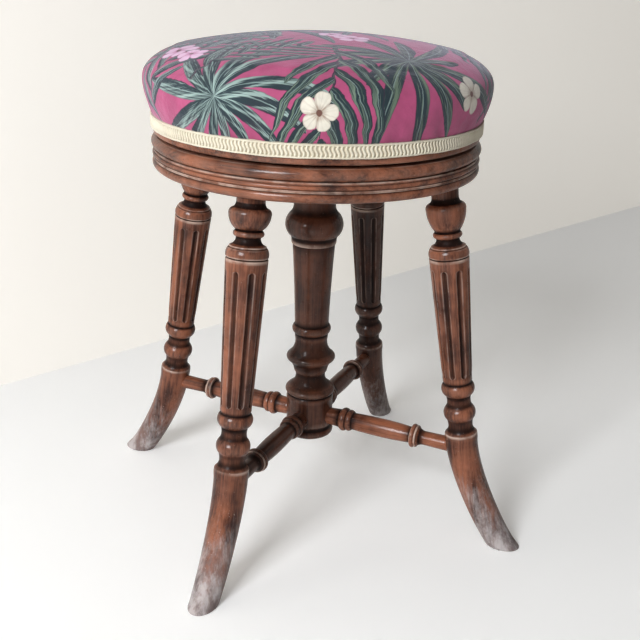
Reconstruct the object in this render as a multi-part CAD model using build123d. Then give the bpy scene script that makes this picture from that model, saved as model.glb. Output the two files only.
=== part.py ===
from build123d import *
import os
from math import asin, cos, degrees, hypot, radians, sin, tan

# Revolving piano stool: a round padded seat on a screw, over a moulded top frame with
# four splayed, fluted legs, a hollow turned column for the screw and four turned stretchers.
# Millimetres and degrees. +Z is up, the origin is on the floor under the column, and the
# seat stands wound down. The legs stand on the X and Y axes.

# ---------------------------------------------------------------- heights above the floor
FRAME_BOTTOM = 399.2
FRAME_THICKNESS = 31.6
SEAT_GAP = 3.4
BOARD_THICKNESS = 17.2
CROWN_HEIGHT = 79.6
FRAME_TOP = FRAME_BOTTOM + FRAME_THICKNESS
BOARD_BOTTOM = FRAME_TOP + SEAT_GAP
BOARD_TOP = BOARD_BOTTOM + BOARD_THICKNESS
CROWN_TOP = BOARD_TOP + CROWN_HEIGHT

# ---------------------------------------------------------------- top frame, a turned disc
FRAME_RADIUS = 170.4
LOWER_TORUS_HEIGHT = 9.0
FRAME_BEAD_HEIGHT = 4.2
FRAME_GROOVE_DEPTH = 2.6
FRAME_FILLET_HEIGHT = 1.7
FRAME_QUIRK_HEIGHT = 0.8
UPPER_NOTCH_DEPTH = 5.2
UPPER_FILLET_DEPTH = 0.9
FRAME_LIP_DROP = 3.6

# ---------------------------------------------------------------- legs
LEG_SPLAY = 8.5
LEG_TOP_PITCH = 141.1
LEG_TENON_RADIUS = 10.0
LEG_TENON_LENGTH = 20.0
SHAFT_TOP = 320.0
SHAFT_BOTTOM = 187.0
SHAFT_TOP_RADIUS = 20.7
SHAFT_BOTTOM_RADIUS = 15.7
FLUTE_COUNT = 8
FLUTE_WIDTH = 6.2
FLUTE_DEPTH = 2.3
FLUTE_END_MARGIN = 10.0
FLUTE_FOOT_MARGIN = 5.0
COLLAR_GROOVE_DEPTH = 1.5
COLLAR_GROOVE_WIDTH = 2.2
COLLAR_HEIGHT = 10.4
COLLAR_TOP_RADIUS = 19.2
COLLAR_FILLET_RADIUS = 18.2
VASE_NECK_RADIUS = 11.9
VASE_NECK_RISE = 19.6
VASE_RING_RADIUS = 15.0
VASE_FOOT_RADIUS = 12.2
VASE_FOOT_DROP = 23.0
VASE_RADIUS = 20.5
VASE_CENTRE = 370.3
VASE_SHOULDER_RADIUS = 17.4
VASE_FILLET_RADIUS = 16.2
LEG_NECK_RADIUS = 13.8
LEG_NECK_RISE = 13.0
LEG_BEAD_RADIUS = 17.9
LEG_BEAD_BOTTOM = 171.0
LEG_BEAD_TOP = 184.5
LEG_BEAD_SEAT_RADIUS = 14.9
BEAD_COVE_RADIUS = 13.4
LOWER_BEAD_RADIUS = 17.3
LOWER_BEAD_BOTTOM = 143.0
LOWER_BEAD_TOP = 157.0
LOWER_BEAD_SEAT_RADIUS = 14.6
FOOT_COVE_TOP = 136.0
FOOT_COVE_RADIUS = 13.1
FOOT_COLLAR_RADIUS = 17.8
FOOT_COLLAR_HEIGHT = 9.5
# The front leg was turned with a longer shaft and a squatter vase than its three fellows.
COLLAR_LIFT = {"front": 16.5, "right": 0.0, "back": 0.0, "left": 0.0}
LEG_DIRECTION = {"front": -90.0, "right": 0.0, "back": 90.0, "left": 180.0}

# ---------------------------------------------------------------- outswept feet
FOOT_TOP = 117.0
FOOT_SPREAD = 240.0
FOOT_TOP_RADIUS = 17.4
FOOT_END_RADIUS = 14.4
FOOT_END_LEAN = 42.0
FOOT_TOP_REACH = 40.0
FOOT_END_REACH = 23.0
FOOT_STATIONS = 8
FOOT_TRIM = 16.0

# ---------------------------------------------------------------- column
COLUMN_BOTTOM = 84.0
DRUM_RADIUS = 26.6
DRUM_TOP = 134.5
COLUMN_NECK_RADIUS = 22.8
BULB_RADIUS = 31.5
BULB_CENTRE = 333.0
COLUMN_SHAFT_TOP = 312.0
COLUMN_SHAFT_TOP_RADIUS = 23.3
COLUMN_SHAFT_BOTTOM = 218.0
COLUMN_SHAFT_BOTTOM_RADIUS = 18.7
COLUMN_BEAD_RADIUS = 21.8
COLUMN_BEAD_BOTTOM = 207.6
COLUMN_COVE_TOP = 203.0
FLARE_RADIUS = 27.6
FLARE_CENTRE = 178.3
WAIST_RADIUS = 17.4
WAIST_TOP = 159.7
COLUMN_TORUS_RADIUS = 28.2
COLUMN_TORUS_HEIGHT = 7.3
COLUMN_TORUS_SEAT_RADIUS = 25.8
BULB_COVE_RADIUS = 27.0
BULB_SHOULDER_RADIUS = 25.4
COLUMN_TENON_RADIUS = 22.0
COLUMN_TENON_HEIGHT = 14.0
COLUMN_TOP_RADIUS = 28.0

# ---------------------------------------------------------------- stretchers
STRETCHER_HEIGHT = 108.0
STRETCHER_NECK_RADIUS = 9.6
STRETCHER_RING_RADIUS = 13.4
STRETCHER_RING_START = 14.0
STRETCHER_RING_END = 28.6
STRETCHER_DISC_START = 41.0
STRETCHER_SWELL_RADIUS = 10.6
STRETCHER_DISC_RADIUS = 13.3
STRETCHER_END_RADIUS = 8.4
STRETCHER_TENON_RADIUS = 5.5
STRETCHER_TENON_LENGTH = 11.0

# ---------------------------------------------------------------- screw and its iron parts
SPINDLE_RADIUS = 10.5
THREAD_CLEARANCE = 0.3
SCREW_TRAVEL = 120.0
NUT_FLANGE_RADIUS = 46.0
NUT_FLANGE_THICKNESS = 4.0
NUT_BOSS_RADIUS = 16.8
NUT_BOSS_LENGTH = 24.0
NUT_SCREW_COUNT = 4
NUT_SCREW_PITCH = 33.0
WASHER_RADIUS = 13.8
WASHER_THICKNESS = 3.0
WASHER_CLEARANCE = 0.3
STOP_RADIUS = 13.0
STOP_THICKNESS = 8.0
STOP_STUD_RADIUS = 7.0
BORE_CLEARANCE = 0.7
BORE_TAIL = 12.0
SEAT_PLATE_RADIUS = 62.0
SEAT_PLATE_THICKNESS = 4.0
SEAT_PLATE_STUD_RADIUS = 8.0
SEAT_SCREW_COUNT = 6
SEAT_SCREW_PITCH = 48.0
SCREW_HEAD_RADIUS = 4.4
SCREW_HEAD_HEIGHT = 2.6
SCREW_SHANK_RADIUS = 2.1
SCREW_TIP_RADIUS = 0.9
NUT_SCREW_LENGTH = 20.0
SEAT_SCREW_LENGTH = 14.0

# ---------------------------------------------------------------- seat
BOARD_RADIUS = 168.0
BOARD_EDGE_ROUND = 3.0
COVER_THICKNESS = 1.2
COVER_HEM_DROP = 9.4
CUSHION_RADIUS = 178.3
CUSHION_WIDEST = 35.6
SHOULDER_RADIUS = 21.0
SHOULDER_TURN = 45.0
CROWN_TURN = 78.0
BRAID_WIDTH = 13.2
BRAID_THICKNESS = 1.3
BRAID_RISE = 2.3
BRAID_TOP = BOARD_TOP + BRAID_RISE


class Turning:
    """The outline of a turned piece, drawn upwards: radius from the axis, height along it."""

    def __init__(self, radius, height):
        self.start = (radius, height)
        self.tip = (radius, height)
        self.edges = []

    def _carry(self, edge, radius, height):
        self.edges.append(edge)
        self.tip = (radius, height)
        return self

    def line(self, radius, height):
        edge = Line(spot(*self.tip), spot(radius, height))
        return self._carry(edge, radius, height)

    def arc(self, radius, height, bulge):
        """An arc whose middle stands out from its chord by the bulge, or in when negative."""
        r0, z0 = self.tip
        dr, dz = radius - r0, height - z0
        chord = hypot(dr, dz)
        middle = spot((r0 + radius) / 2 + bulge * dz / chord, (z0 + height) / 2 - bulge * dr / chord)
        edge = ThreePointArc(spot(r0, z0), middle, spot(radius, height))
        return self._carry(edge, radius, height)

    def torus(self, top_radius, top_height, outer_radius):
        """A bead from here to the given point, as far out as the given radius."""
        return self.arc(top_radius, top_height, outer_radius - (self.tip[0] + top_radius) / 2)

    def groove(self, radius, width):
        """A narrow V groove that comes back to the radius it started from."""
        r0, z0 = self.tip
        return self.line(radius, z0 + width / 2).line(r0, z0 + width)

    def solid(self):
        outline = list(self.edges)
        outline.append(Line(spot(*self.tip), spot(0, self.tip[1])))
        outline.append(Line(spot(0, self.tip[1]), spot(0, self.start[1])))
        outline.append(Line(spot(0, self.start[1]), spot(*self.start)))
        return revolve(make_face(outline), Axis.Z)


def spot(radius, height):
    return Vector(radius, 0, height)


def rod(radius, bottom, top):
    """A plain upright cylinder between two heights."""
    return Pos(0, 0, bottom) * Cylinder(radius, top - bottom, align=(Align.CENTER, Align.CENTER, Align.MIN))


def ring(outer, inner, bottom, top):
    return rod(outer, bottom, top) - rod(inner, bottom, top)


# ================================================================ legs
def leg_radius_at(height):
    """How far the straight leg's axis stands from the column's axis."""
    return LEG_TOP_PITCH + (FRAME_BOTTOM - height) * tan(radians(LEG_SPLAY))


def along(height):
    """Distance along the leg's axis, from the top of the foot up to a height over the floor."""
    return (height - FOOT_TOP) / cos(radians(LEG_SPLAY))


def on_leg_axis(piece):
    """Lean an upright piece, built from the top of the foot, onto the axis of the leg at +X."""
    return Pos(leg_radius_at(FOOT_TOP), 0, FOOT_TOP) * Rot(0, -LEG_SPLAY, 0) * piece


def leg_turning(lift):
    """The turned part of a leg, from the collar over the foot up to the neck."""
    shaft_top = SHAFT_TOP + lift
    vase_bottom = VASE_CENTRE - VASE_FOOT_DROP + lift
    vase_centre = VASE_CENTRE + lift / 2
    leg = Turning(FOOT_COLLAR_RADIUS - 0.4, 0)
    leg.arc(FOOT_COLLAR_RADIUS - 0.3, along(FOOT_TOP + FOOT_COLLAR_HEIGHT), 0.4)
    leg.arc(FOOT_COVE_RADIUS, along(FOOT_COVE_TOP), -1.4)
    leg.arc(LOWER_BEAD_SEAT_RADIUS, along(LOWER_BEAD_BOTTOM), -0.4)
    leg.torus(LOWER_BEAD_SEAT_RADIUS - 0.2, along(LOWER_BEAD_TOP), LOWER_BEAD_RADIUS)
    leg.line(BEAD_COVE_RADIUS, along(LOWER_BEAD_TOP + 1.5))
    leg.arc(BEAD_COVE_RADIUS + 0.2, along(LEG_BEAD_BOTTOM - 1.5), -0.9)
    leg.line(LEG_BEAD_SEAT_RADIUS, along(LEG_BEAD_BOTTOM))
    leg.torus(LEG_BEAD_SEAT_RADIUS - 0.1, along(LEG_BEAD_TOP), LEG_BEAD_RADIUS)
    leg.line(SHAFT_BOTTOM_RADIUS, along(SHAFT_BOTTOM))
    leg.line(SHAFT_TOP_RADIUS, along(shaft_top))
    leg.groove(SHAFT_TOP_RADIUS - COLLAR_GROOVE_DEPTH, COLLAR_GROOVE_WIDTH)
    leg.torus(COLLAR_TOP_RADIUS, along(shaft_top + COLLAR_HEIGHT), SHAFT_TOP_RADIUS + 0.1)
    leg.line(COLLAR_FILLET_RADIUS, along(shaft_top + COLLAR_HEIGHT + 0.6))
    leg.line(COLLAR_FILLET_RADIUS - 0.2, along(shaft_top + COLLAR_HEIGHT + 2.2))
    leg.arc(VASE_NECK_RADIUS, along(shaft_top + VASE_NECK_RISE), -1.6)
    leg.line(VASE_NECK_RADIUS + 0.4, along(shaft_top + VASE_NECK_RISE + 1.4))
    leg.torus(VASE_FOOT_RADIUS, along(vase_bottom - 0.2), VASE_RING_RADIUS)
    leg.arc(VASE_RADIUS, along(vase_centre), 2.0)
    leg.torus(VASE_SHOULDER_RADIUS, along(vase_centre + 5.8), VASE_RADIUS - 0.4)
    leg.line(VASE_FILLET_RADIUS, along(vase_centre + 6.2))
    leg.arc(LEG_NECK_RADIUS, along(vase_centre + LEG_NECK_RISE), -0.9)
    leg.line(LEG_NECK_RADIUS + 0.6, along(FRAME_BOTTOM + 6.0))
    return leg.solid()


def flute_cutters(lift):
    """Round-ended grooves round the tapered shaft, parallel to its surface."""
    low = along(SHAFT_BOTTOM + FLUTE_FOOT_MARGIN)
    high = along(SHAFT_TOP + lift - FLUTE_END_MARGIN)
    cutter_radius = (FLUTE_WIDTH ** 2 / 4 + FLUTE_DEPTH ** 2) / (2 * FLUTE_DEPTH)
    standoff = cutter_radius - FLUTE_DEPTH
    taper = (SHAFT_TOP_RADIUS - SHAFT_BOTTOM_RADIUS) / (along(SHAFT_TOP + lift) - along(SHAFT_BOTTOM))
    bottom = spot(SHAFT_BOTTOM_RADIUS + taper * (low - along(SHAFT_BOTTOM)) + standoff, low + FLUTE_WIDTH / 2)
    top = spot(SHAFT_BOTTOM_RADIUS + taper * (high - along(SHAFT_BOTTOM)) + standoff, high - FLUTE_WIDTH / 2)
    run = Plane(origin=bottom, z_dir=top - bottom)
    groove = run * Cylinder(cutter_radius, (top - bottom).length, align=(Align.CENTER, Align.CENTER, Align.MIN))
    groove += Pos(bottom) * Sphere(cutter_radius)
    groove += Pos(top) * Sphere(cutter_radius)
    return [Rot(0, 0, k * 360 / FLUTE_COUNT) * groove for k in range(FLUTE_COUNT)]


def foot():
    """The outswept foot: round sections along a curve that leaves the leg's axis."""
    splay, lean = radians(LEG_SPLAY), radians(FOOT_END_LEAN)
    start = spot(leg_radius_at(FOOT_TOP), FOOT_TOP)
    end = spot(FOOT_SPREAD, 0)
    out_of_leg = spot(sin(splay), -cos(splay))
    onto_floor = spot(sin(lean), -cos(lean))
    curve = Bezier(start, start + out_of_leg * FOOT_TOP_REACH, end - onto_floor * FOOT_END_REACH, end)
    sections = []
    for k in range(FOOT_STATIONS + 1):
        share = k / FOOT_STATIONS
        radius = FOOT_TOP_RADIUS + (FOOT_END_RADIUS - FOOT_TOP_RADIUS) * share
        station = Plane(origin=curve @ share, x_dir=(0, 1, 0), z_dir=curve % share)
        sections.append(station * Circle(radius))
    past_floor = Plane(origin=end + onto_floor * FOOT_TRIM, x_dir=(0, 1, 0), z_dir=onto_floor)
    sections.append(past_floor * Circle(FOOT_END_RADIUS))
    swept = loft(sections)
    floor = Pos(FOOT_SPREAD, 0, 0) * Box(120, 120, 60, align=(Align.CENTER, Align.CENTER, Align.MAX))
    return swept - floor


def leg_tenon():
    """The round tenon on top of the leg, and so its mortise in the frame."""
    return on_leg_axis(rod(LEG_TENON_RADIUS, along(FRAME_BOTTOM - 4), along(FRAME_BOTTOM + LEG_TENON_LENGTH)))


def stretcher_tenon_in_leg():
    seat = leg_radius_at(STRETCHER_HEIGHT) - FOOT_TOP_RADIUS
    return Pos(0, 0, STRETCHER_HEIGHT) * Rot(0, 90, 0) * rod(
        STRETCHER_TENON_RADIUS, seat - 6, seat + STRETCHER_TENON_LENGTH)


def leg_blank(lift):
    """A leg at +X, before the stretcher's mortise is bored."""
    above = Pos(LEG_TOP_PITCH, 0, FRAME_BOTTOM) * Box(90, 90, 60, align=(Align.CENTER, Align.CENTER, Align.MIN))
    turned = leg_turning(lift)
    for groove in flute_cutters(lift):
        turned -= groove
    return on_leg_axis(turned) - above + foot() + leg_tenon()


# ================================================================ column and stretchers
def column_blank():
    """The outside of the screw housing, from the drum up to the tenon in the frame."""
    column = Turning(DRUM_RADIUS - 1.2, COLUMN_BOTTOM)
    column.arc(DRUM_RADIUS - 0.6, COLUMN_BOTTOM + 7.6, 1.9)
    column.arc(DRUM_RADIUS - 0.2, COLUMN_BOTTOM + 14.0, -0.8)
    column.line(DRUM_RADIUS, DRUM_TOP - 7.5)
    column.arc(DRUM_RADIUS - 2.2, DRUM_TOP, 1.1)
    column.torus(COLUMN_TORUS_SEAT_RADIUS, DRUM_TOP + COLUMN_TORUS_HEIGHT, COLUMN_TORUS_RADIUS)
    column.line(COLUMN_TORUS_SEAT_RADIUS - 1.2, DRUM_TOP + COLUMN_TORUS_HEIGHT + 1.1)
    column.arc(WAIST_RADIUS, WAIST_TOP, -3.4)
    column.line(WAIST_RADIUS + 1.4, WAIST_TOP + 1.9)
    column.line(WAIST_RADIUS + 1.9, WAIST_TOP + 4.5)
    column.arc(FLARE_RADIUS - 1.6, FLARE_CENTRE - 3.0, -1.2)
    column.torus(FLARE_RADIUS - 1.4, FLARE_CENTRE + 3.2, FLARE_RADIUS)
    column.line(FLARE_RADIUS - 3.0, FLARE_CENTRE + 4.4)
    column.arc(COLUMN_SHAFT_BOTTOM_RADIUS, COLUMN_COVE_TOP, -2.9)
    column.line(COLUMN_SHAFT_BOTTOM_RADIUS + 0.2, COLUMN_BEAD_BOTTOM)
    column.torus(COLUMN_SHAFT_BOTTOM_RADIUS + 0.3, COLUMN_SHAFT_BOTTOM, COLUMN_BEAD_RADIUS)
    column.arc(COLUMN_SHAFT_TOP_RADIUS, COLUMN_SHAFT_TOP, -0.5)
    column.line(COLUMN_SHAFT_TOP_RADIUS + 1.2, COLUMN_SHAFT_TOP + 0.8)
    column.line(COLUMN_SHAFT_TOP_RADIUS + 1.4, COLUMN_SHAFT_TOP + 4.2)
    column.arc(BULB_COVE_RADIUS, COLUMN_SHAFT_TOP + 10.5, -0.7)
    column.line(BULB_COVE_RADIUS + 1.0, COLUMN_SHAFT_TOP + 11.2)
    column.torus(BULB_SHOULDER_RADIUS, BULB_CENTRE + 14.0, BULB_RADIUS)
    column.arc(COLUMN_NECK_RADIUS, BULB_CENTRE + 21.0, -0.6)
    column.arc(COLUMN_TOP_RADIUS, FRAME_BOTTOM, -2.0)
    column.line(COLUMN_TENON_RADIUS, FRAME_BOTTOM)
    column.line(COLUMN_TENON_RADIUS, FRAME_BOTTOM + COLUMN_TENON_HEIGHT)
    return column.solid()


NUT_BOTTOM = FRAME_TOP - NUT_FLANGE_THICKNESS - NUT_BOSS_LENGTH
WASHER_TOP = NUT_BOTTOM - SCREW_TRAVEL - WASHER_CLEARANCE
STOP_TOP = WASHER_TOP - WASHER_THICKNESS - WASHER_CLEARANCE
SPINDLE_END = STOP_TOP - STOP_THICKNESS


def stretcher_tenon_in_column():
    return Pos(0, 0, STRETCHER_HEIGHT) * Rot(0, 90, 0) * rod(
        STRETCHER_TENON_RADIUS, DRUM_RADIUS - STRETCHER_TENON_LENGTH, DRUM_RADIUS + 6)


def make_column():
    """The housing bored for the spindle from above and for the four stretchers below."""
    column = column_blank()
    column -= rod(WASHER_RADIUS + BORE_CLEARANCE, SPINDLE_END - BORE_TAIL, FRAME_BOTTOM + COLUMN_TENON_HEIGHT)
    column -= rod(NUT_BOSS_RADIUS, NUT_BOTTOM, FRAME_BOTTOM + COLUMN_TENON_HEIGHT)
    for direction in LEG_DIRECTION.values():
        column -= Rot(0, 0, direction) * stretcher_tenon_in_column()
    return column


def stretcher_turning():
    """A stretcher's outline, drawn from the column outwards along its own axis."""
    foot_face = leg_radius_at(STRETCHER_HEIGHT) - FOOT_TOP_RADIUS
    rail = Turning(STRETCHER_NECK_RADIUS, DRUM_RADIUS - 4)
    rail.line(STRETCHER_NECK_RADIUS, DRUM_RADIUS + 2)
    rail.line(STRETCHER_NECK_RADIUS + 0.9, DRUM_RADIUS + STRETCHER_RING_START)
    rail.torus(STRETCHER_RING_RADIUS - 2.0, DRUM_RADIUS + STRETCHER_RING_START + 8.4, STRETCHER_RING_RADIUS)
    rail.torus(STRETCHER_RING_RADIUS - 3.0, DRUM_RADIUS + STRETCHER_RING_END, STRETCHER_RING_RADIUS - 1.2)
    rail.line(STRETCHER_NECK_RADIUS, DRUM_RADIUS + STRETCHER_RING_END + 0.8)
    rail.arc(STRETCHER_SWELL_RADIUS, (DRUM_RADIUS + foot_face) / 2 - 6, 0.25)
    disc = foot_face - STRETCHER_DISC_START
    rail.arc(STRETCHER_SWELL_RADIUS - 1.7, disc, 0.4)
    rail.line(STRETCHER_DISC_RADIUS - 0.8, disc + 0.6)
    rail.torus(STRETCHER_DISC_RADIUS - 0.8, disc + 4.4, STRETCHER_DISC_RADIUS)
    rail.line(STRETCHER_DISC_RADIUS - 2.0, disc + 5.2)
    rail.torus(STRETCHER_DISC_RADIUS - 2.4, disc + 7.6, STRETCHER_DISC_RADIUS - 0.9)
    rail.arc(STRETCHER_END_RADIUS - 0.6, disc + 17.0, -1.1)
    rail.line(STRETCHER_END_RADIUS, foot_face + 8)
    return Pos(0, 0, STRETCHER_HEIGHT) * Rot(0, 90, 0) * rail.solid()


def make_stretcher(direction):
    """A stretcher saddled to the drum and to its foot, with a tenon at each end."""
    rail = stretcher_turning() - column_blank() - foot() - on_leg_axis(leg_turning(0))
    rail += stretcher_tenon_in_column() + stretcher_tenon_in_leg()
    return Rot(0, 0, direction) * rail


def make_leg(direction, lift):
    return Rot(0, 0, direction) * (leg_blank(lift) - stretcher_tenon_in_leg())


# ================================================================ top frame
def frame_blank():
    """A disc with a torus, a bead between quirks and a second torus worked on its edge."""
    deep = FRAME_RADIUS - FRAME_GROOVE_DEPTH
    face = FRAME_RADIUS - 1.4
    edge = Turning(FRAME_RADIUS - 4.6, FRAME_BOTTOM)
    edge.torus(deep, FRAME_BOTTOM + LOWER_TORUS_HEIGHT, FRAME_RADIUS - 0.7)
    height = FRAME_BOTTOM + LOWER_TORUS_HEIGHT + FRAME_QUIRK_HEIGHT
    edge.line(face, height).line(face, height + FRAME_FILLET_HEIGHT)
    height += FRAME_FILLET_HEIGHT + FRAME_QUIRK_HEIGHT
    edge.line(deep, height)
    edge.torus(deep, height + FRAME_BEAD_HEIGHT, FRAME_RADIUS - 0.8)
    height += FRAME_BEAD_HEIGHT + FRAME_QUIRK_HEIGHT
    edge.line(face - UPPER_FILLET_DEPTH, height).line(face - UPPER_FILLET_DEPTH, height + FRAME_FILLET_HEIGHT)
    height += FRAME_FILLET_HEIGHT + FRAME_QUIRK_HEIGHT
    edge.line(FRAME_RADIUS - UPPER_NOTCH_DEPTH, height)
    edge.torus(FRAME_RADIUS - FRAME_LIP_DROP, FRAME_TOP - 0.8, FRAME_RADIUS)
    edge.line(FRAME_RADIUS - FRAME_LIP_DROP - 1.2, FRAME_TOP)
    return edge.solid()


def make_frame(nut_screws):
    """The frame bored for the column, the nut, its screws and the four legs."""
    frame = frame_blank()
    frame -= rod(COLUMN_TENON_RADIUS, FRAME_BOTTOM, FRAME_BOTTOM + COLUMN_TENON_HEIGHT)
    frame -= rod(NUT_BOSS_RADIUS, FRAME_BOTTOM, FRAME_TOP)
    frame -= rod(NUT_FLANGE_RADIUS, FRAME_TOP - NUT_FLANGE_THICKNESS, FRAME_TOP)
    for direction in LEG_DIRECTION.values():
        frame -= Rot(0, 0, direction) * leg_tenon()
    for screw in nut_screws:
        frame -= screw
    return frame


# ================================================================ iron parts
def wood_screw(length):
    """A countersunk screw standing on its tip, its head's face at height zero."""
    screw = Turning(SCREW_TIP_RADIUS, -length)
    screw.line(SCREW_SHANK_RADIUS, -length * 0.55)
    screw.line(SCREW_SHANK_RADIUS, -SCREW_HEAD_HEIGHT)
    screw.line(SCREW_HEAD_RADIUS, 0)
    return screw.solid()


def screw_circle(screw, count, pitch, height):
    turn = 360 / count
    return [Rot(0, 0, (k + 0.5) * turn) * Pos(pitch, 0, height) * screw for k in range(count)]


def make_nut_plate(screws):
    """The flanged iron nut, let into the top of the frame."""
    plate = rod(NUT_FLANGE_RADIUS, FRAME_TOP - NUT_FLANGE_THICKNESS, FRAME_TOP)
    plate += rod(NUT_BOSS_RADIUS, NUT_BOTTOM, FRAME_TOP - NUT_FLANGE_THICKNESS)
    plate -= rod(SPINDLE_RADIUS + THREAD_CLEARANCE, NUT_BOTTOM, FRAME_TOP)
    for screw in screws:
        plate -= screw
    return plate


def make_seat_plate(screws):
    """The iron flange let into the underside of the seat board."""
    plate = ring(SEAT_PLATE_RADIUS, SEAT_PLATE_STUD_RADIUS, BOARD_BOTTOM, BOARD_BOTTOM + SEAT_PLATE_THICKNESS)
    for screw in screws:
        plate -= screw
    return plate


def make_spindle():
    """The screw: a stud riveted in the seat's plate, the screw's core and a stud for its stop."""
    spindle = rod(SPINDLE_RADIUS, STOP_TOP, BOARD_BOTTOM)
    spindle += rod(SEAT_PLATE_STUD_RADIUS, BOARD_BOTTOM, BOARD_BOTTOM + SEAT_PLATE_THICKNESS)
    spindle += rod(STOP_STUD_RADIUS, SPINDLE_END, STOP_TOP)
    return spindle


def make_stop_washer():
    """The loose washer that meets the nut when the seat is fully up."""
    return ring(WASHER_RADIUS, SPINDLE_RADIUS + WASHER_CLEARANCE, WASHER_TOP - WASHER_THICKNESS, WASHER_TOP)


def make_spindle_stop():
    """The collar pinned on the end of the spindle, which carries the washer."""
    return ring(STOP_RADIUS, STOP_STUD_RADIUS, SPINDLE_END, STOP_TOP)


# ================================================================ seat
def make_board(screws):
    board = Turning(BOARD_RADIUS - BOARD_EDGE_ROUND / 2, BOARD_BOTTOM)
    board.arc(BOARD_RADIUS, BOARD_BOTTOM + BOARD_EDGE_ROUND, BOARD_EDGE_ROUND * 0.18)
    board.line(BOARD_RADIUS, BOARD_TOP)
    blank = board.solid() - rod(SEAT_PLATE_RADIUS, BOARD_BOTTOM, BOARD_BOTTOM + SEAT_PLATE_THICKNESS)
    for screw in screws:
        blank -= screw
    return blank


def dome_arc(centre, radius, start_turn, end_turn):
    """An arc of the dome's outline between two turns, from level outwards to straight up."""
    points = []
    for turn in (start_turn, (start_turn + end_turn) / 2, end_turn):
        points.append(centre + spot(cos(radians(turn)), sin(radians(turn))) * radius)
    return ThreePointArc(*points)


def dome_outline(inset):
    """Four tangent arcs, swell, shoulder, upper shoulder and crown, set in from the cloth's face."""
    widest = BOARD_TOP + CUSHION_WIDEST
    drop, drawn_in = widest - BRAID_TOP, CUSHION_RADIUS - BOARD_RADIUS - COVER_THICKNESS
    swell_radius = (drop ** 2 + drawn_in ** 2) / (2 * drawn_in)
    shoulder_centre = spot(CUSHION_RADIUS - SHOULDER_RADIUS, widest)
    bend = shoulder_centre + spot(cos(radians(SHOULDER_TURN)), sin(radians(SHOULDER_TURN))) * SHOULDER_RADIUS
    # The last two radii follow from the run and the rise that are left to the top of the axis.
    run, rise = bend.X, CROWN_TOP - bend.Z
    run_share, crown_run = cos(radians(SHOULDER_TURN)) - cos(radians(CROWN_TURN)), cos(radians(CROWN_TURN))
    rise_share, crown_rise = sin(radians(CROWN_TURN)) - sin(radians(SHOULDER_TURN)), 1 - sin(radians(CROWN_TURN))
    crown_radius = (run * rise_share - rise * run_share) / (crown_run * rise_share - crown_rise * run_share)
    upper_radius = (rise - crown_rise * crown_radius) / rise_share
    upper_centre = bend - spot(cos(radians(SHOULDER_TURN)), sin(radians(SHOULDER_TURN))) * upper_radius
    start_turn = -degrees(asin(drop / swell_radius))
    return [
        dome_arc(spot(CUSHION_RADIUS - swell_radius, widest), swell_radius - inset, start_turn, 0),
        dome_arc(shoulder_centre, SHOULDER_RADIUS - inset, 0, SHOULDER_TURN),
        dome_arc(upper_centre, upper_radius - inset, SHOULDER_TURN, CROWN_TURN),
        dome_arc(spot(0, CROWN_TOP - crown_radius), crown_radius - inset, CROWN_TURN, 90)]


def crown(inset, bottom):
    """The padded dome: straight up to the braid's top, drawn-in sides, a shoulder and a crown."""
    outline = dome_outline(inset)
    foot, top = outline[0] @ 0, outline[-1] @ 1
    under, axis_foot = spot(foot.X, bottom), spot(0, bottom)
    outline += [Line(top, axis_foot), Line(axis_foot, under), Line(under, foot)]
    return revolve(make_face(outline), Axis.Z)


def make_stuffing():
    return crown(COVER_THICKNESS, BOARD_TOP)


def make_cover():
    """The seat cloth, drawn down over the edge of the board."""
    hem_bottom = BOARD_TOP - COVER_HEM_DROP
    return crown(0, hem_bottom) - make_stuffing() - rod(BOARD_RADIUS, hem_bottom, BOARD_TOP)


def make_braid():
    """The braid glued round the hem of the cover."""
    inner = BOARD_RADIUS + COVER_THICKNESS
    return ring(inner + BRAID_THICKNESS, inner, BRAID_TOP - BRAID_WIDTH, BRAID_TOP)


# ================================================================ assembly
def make_parts():
    nut_screws = screw_circle(wood_screw(NUT_SCREW_LENGTH), NUT_SCREW_COUNT, NUT_SCREW_PITCH, FRAME_TOP)
    seat_screws = screw_circle(
        Rot(180, 0, 0) * wood_screw(SEAT_SCREW_LENGTH), SEAT_SCREW_COUNT, SEAT_SCREW_PITCH, BOARD_BOTTOM)
    parts = {
        "top_frame": make_frame(nut_screws),
        "column": make_column(),
        "nut_plate": make_nut_plate(nut_screws),
        "nut_plate_screws": Compound(nut_screws),
        "stop_washer": make_stop_washer(),
        "screw_spindle": make_spindle(),
        "spindle_stop": make_spindle_stop(),
        "seat_plate": make_seat_plate(seat_screws),
        "seat_plate_screws": Compound(seat_screws),
        "seat_board": make_board(seat_screws),
        "seat_stuffing": make_stuffing(),
        "seat_cover": make_cover(),
        "braid": make_braid(),
    }
    for name, direction in LEG_DIRECTION.items():
        parts["leg_" + name] = make_leg(direction, COLLAR_LIFT[name])
        parts["stretcher_" + name] = make_stretcher(direction)
    return parts


os.makedirs("parts", exist_ok=True)
for part_name, shape in make_parts().items():
    export_step(shape, os.path.join("parts", part_name + ".step"))
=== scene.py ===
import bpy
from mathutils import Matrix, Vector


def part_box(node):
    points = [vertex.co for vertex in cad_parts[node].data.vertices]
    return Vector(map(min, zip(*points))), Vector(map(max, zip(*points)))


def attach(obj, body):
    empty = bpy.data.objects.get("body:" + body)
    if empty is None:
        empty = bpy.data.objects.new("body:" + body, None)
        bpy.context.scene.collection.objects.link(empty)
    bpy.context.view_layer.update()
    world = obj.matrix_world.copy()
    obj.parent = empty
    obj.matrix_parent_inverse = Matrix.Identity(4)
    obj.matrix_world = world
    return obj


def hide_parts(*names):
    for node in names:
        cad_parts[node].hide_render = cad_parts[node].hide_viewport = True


bl_info = {
    "name": "Revolving Piano Stool",
    "version": (1, 0, 0),
    "blender": (4, 5, 0),
    "location": "View3D > Sidebar > Stool",
    "description": "Turned mahogany, ironwork, a printed cover and gimp braid for a revolving stool",
    "category": "Add Mesh",
}

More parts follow.
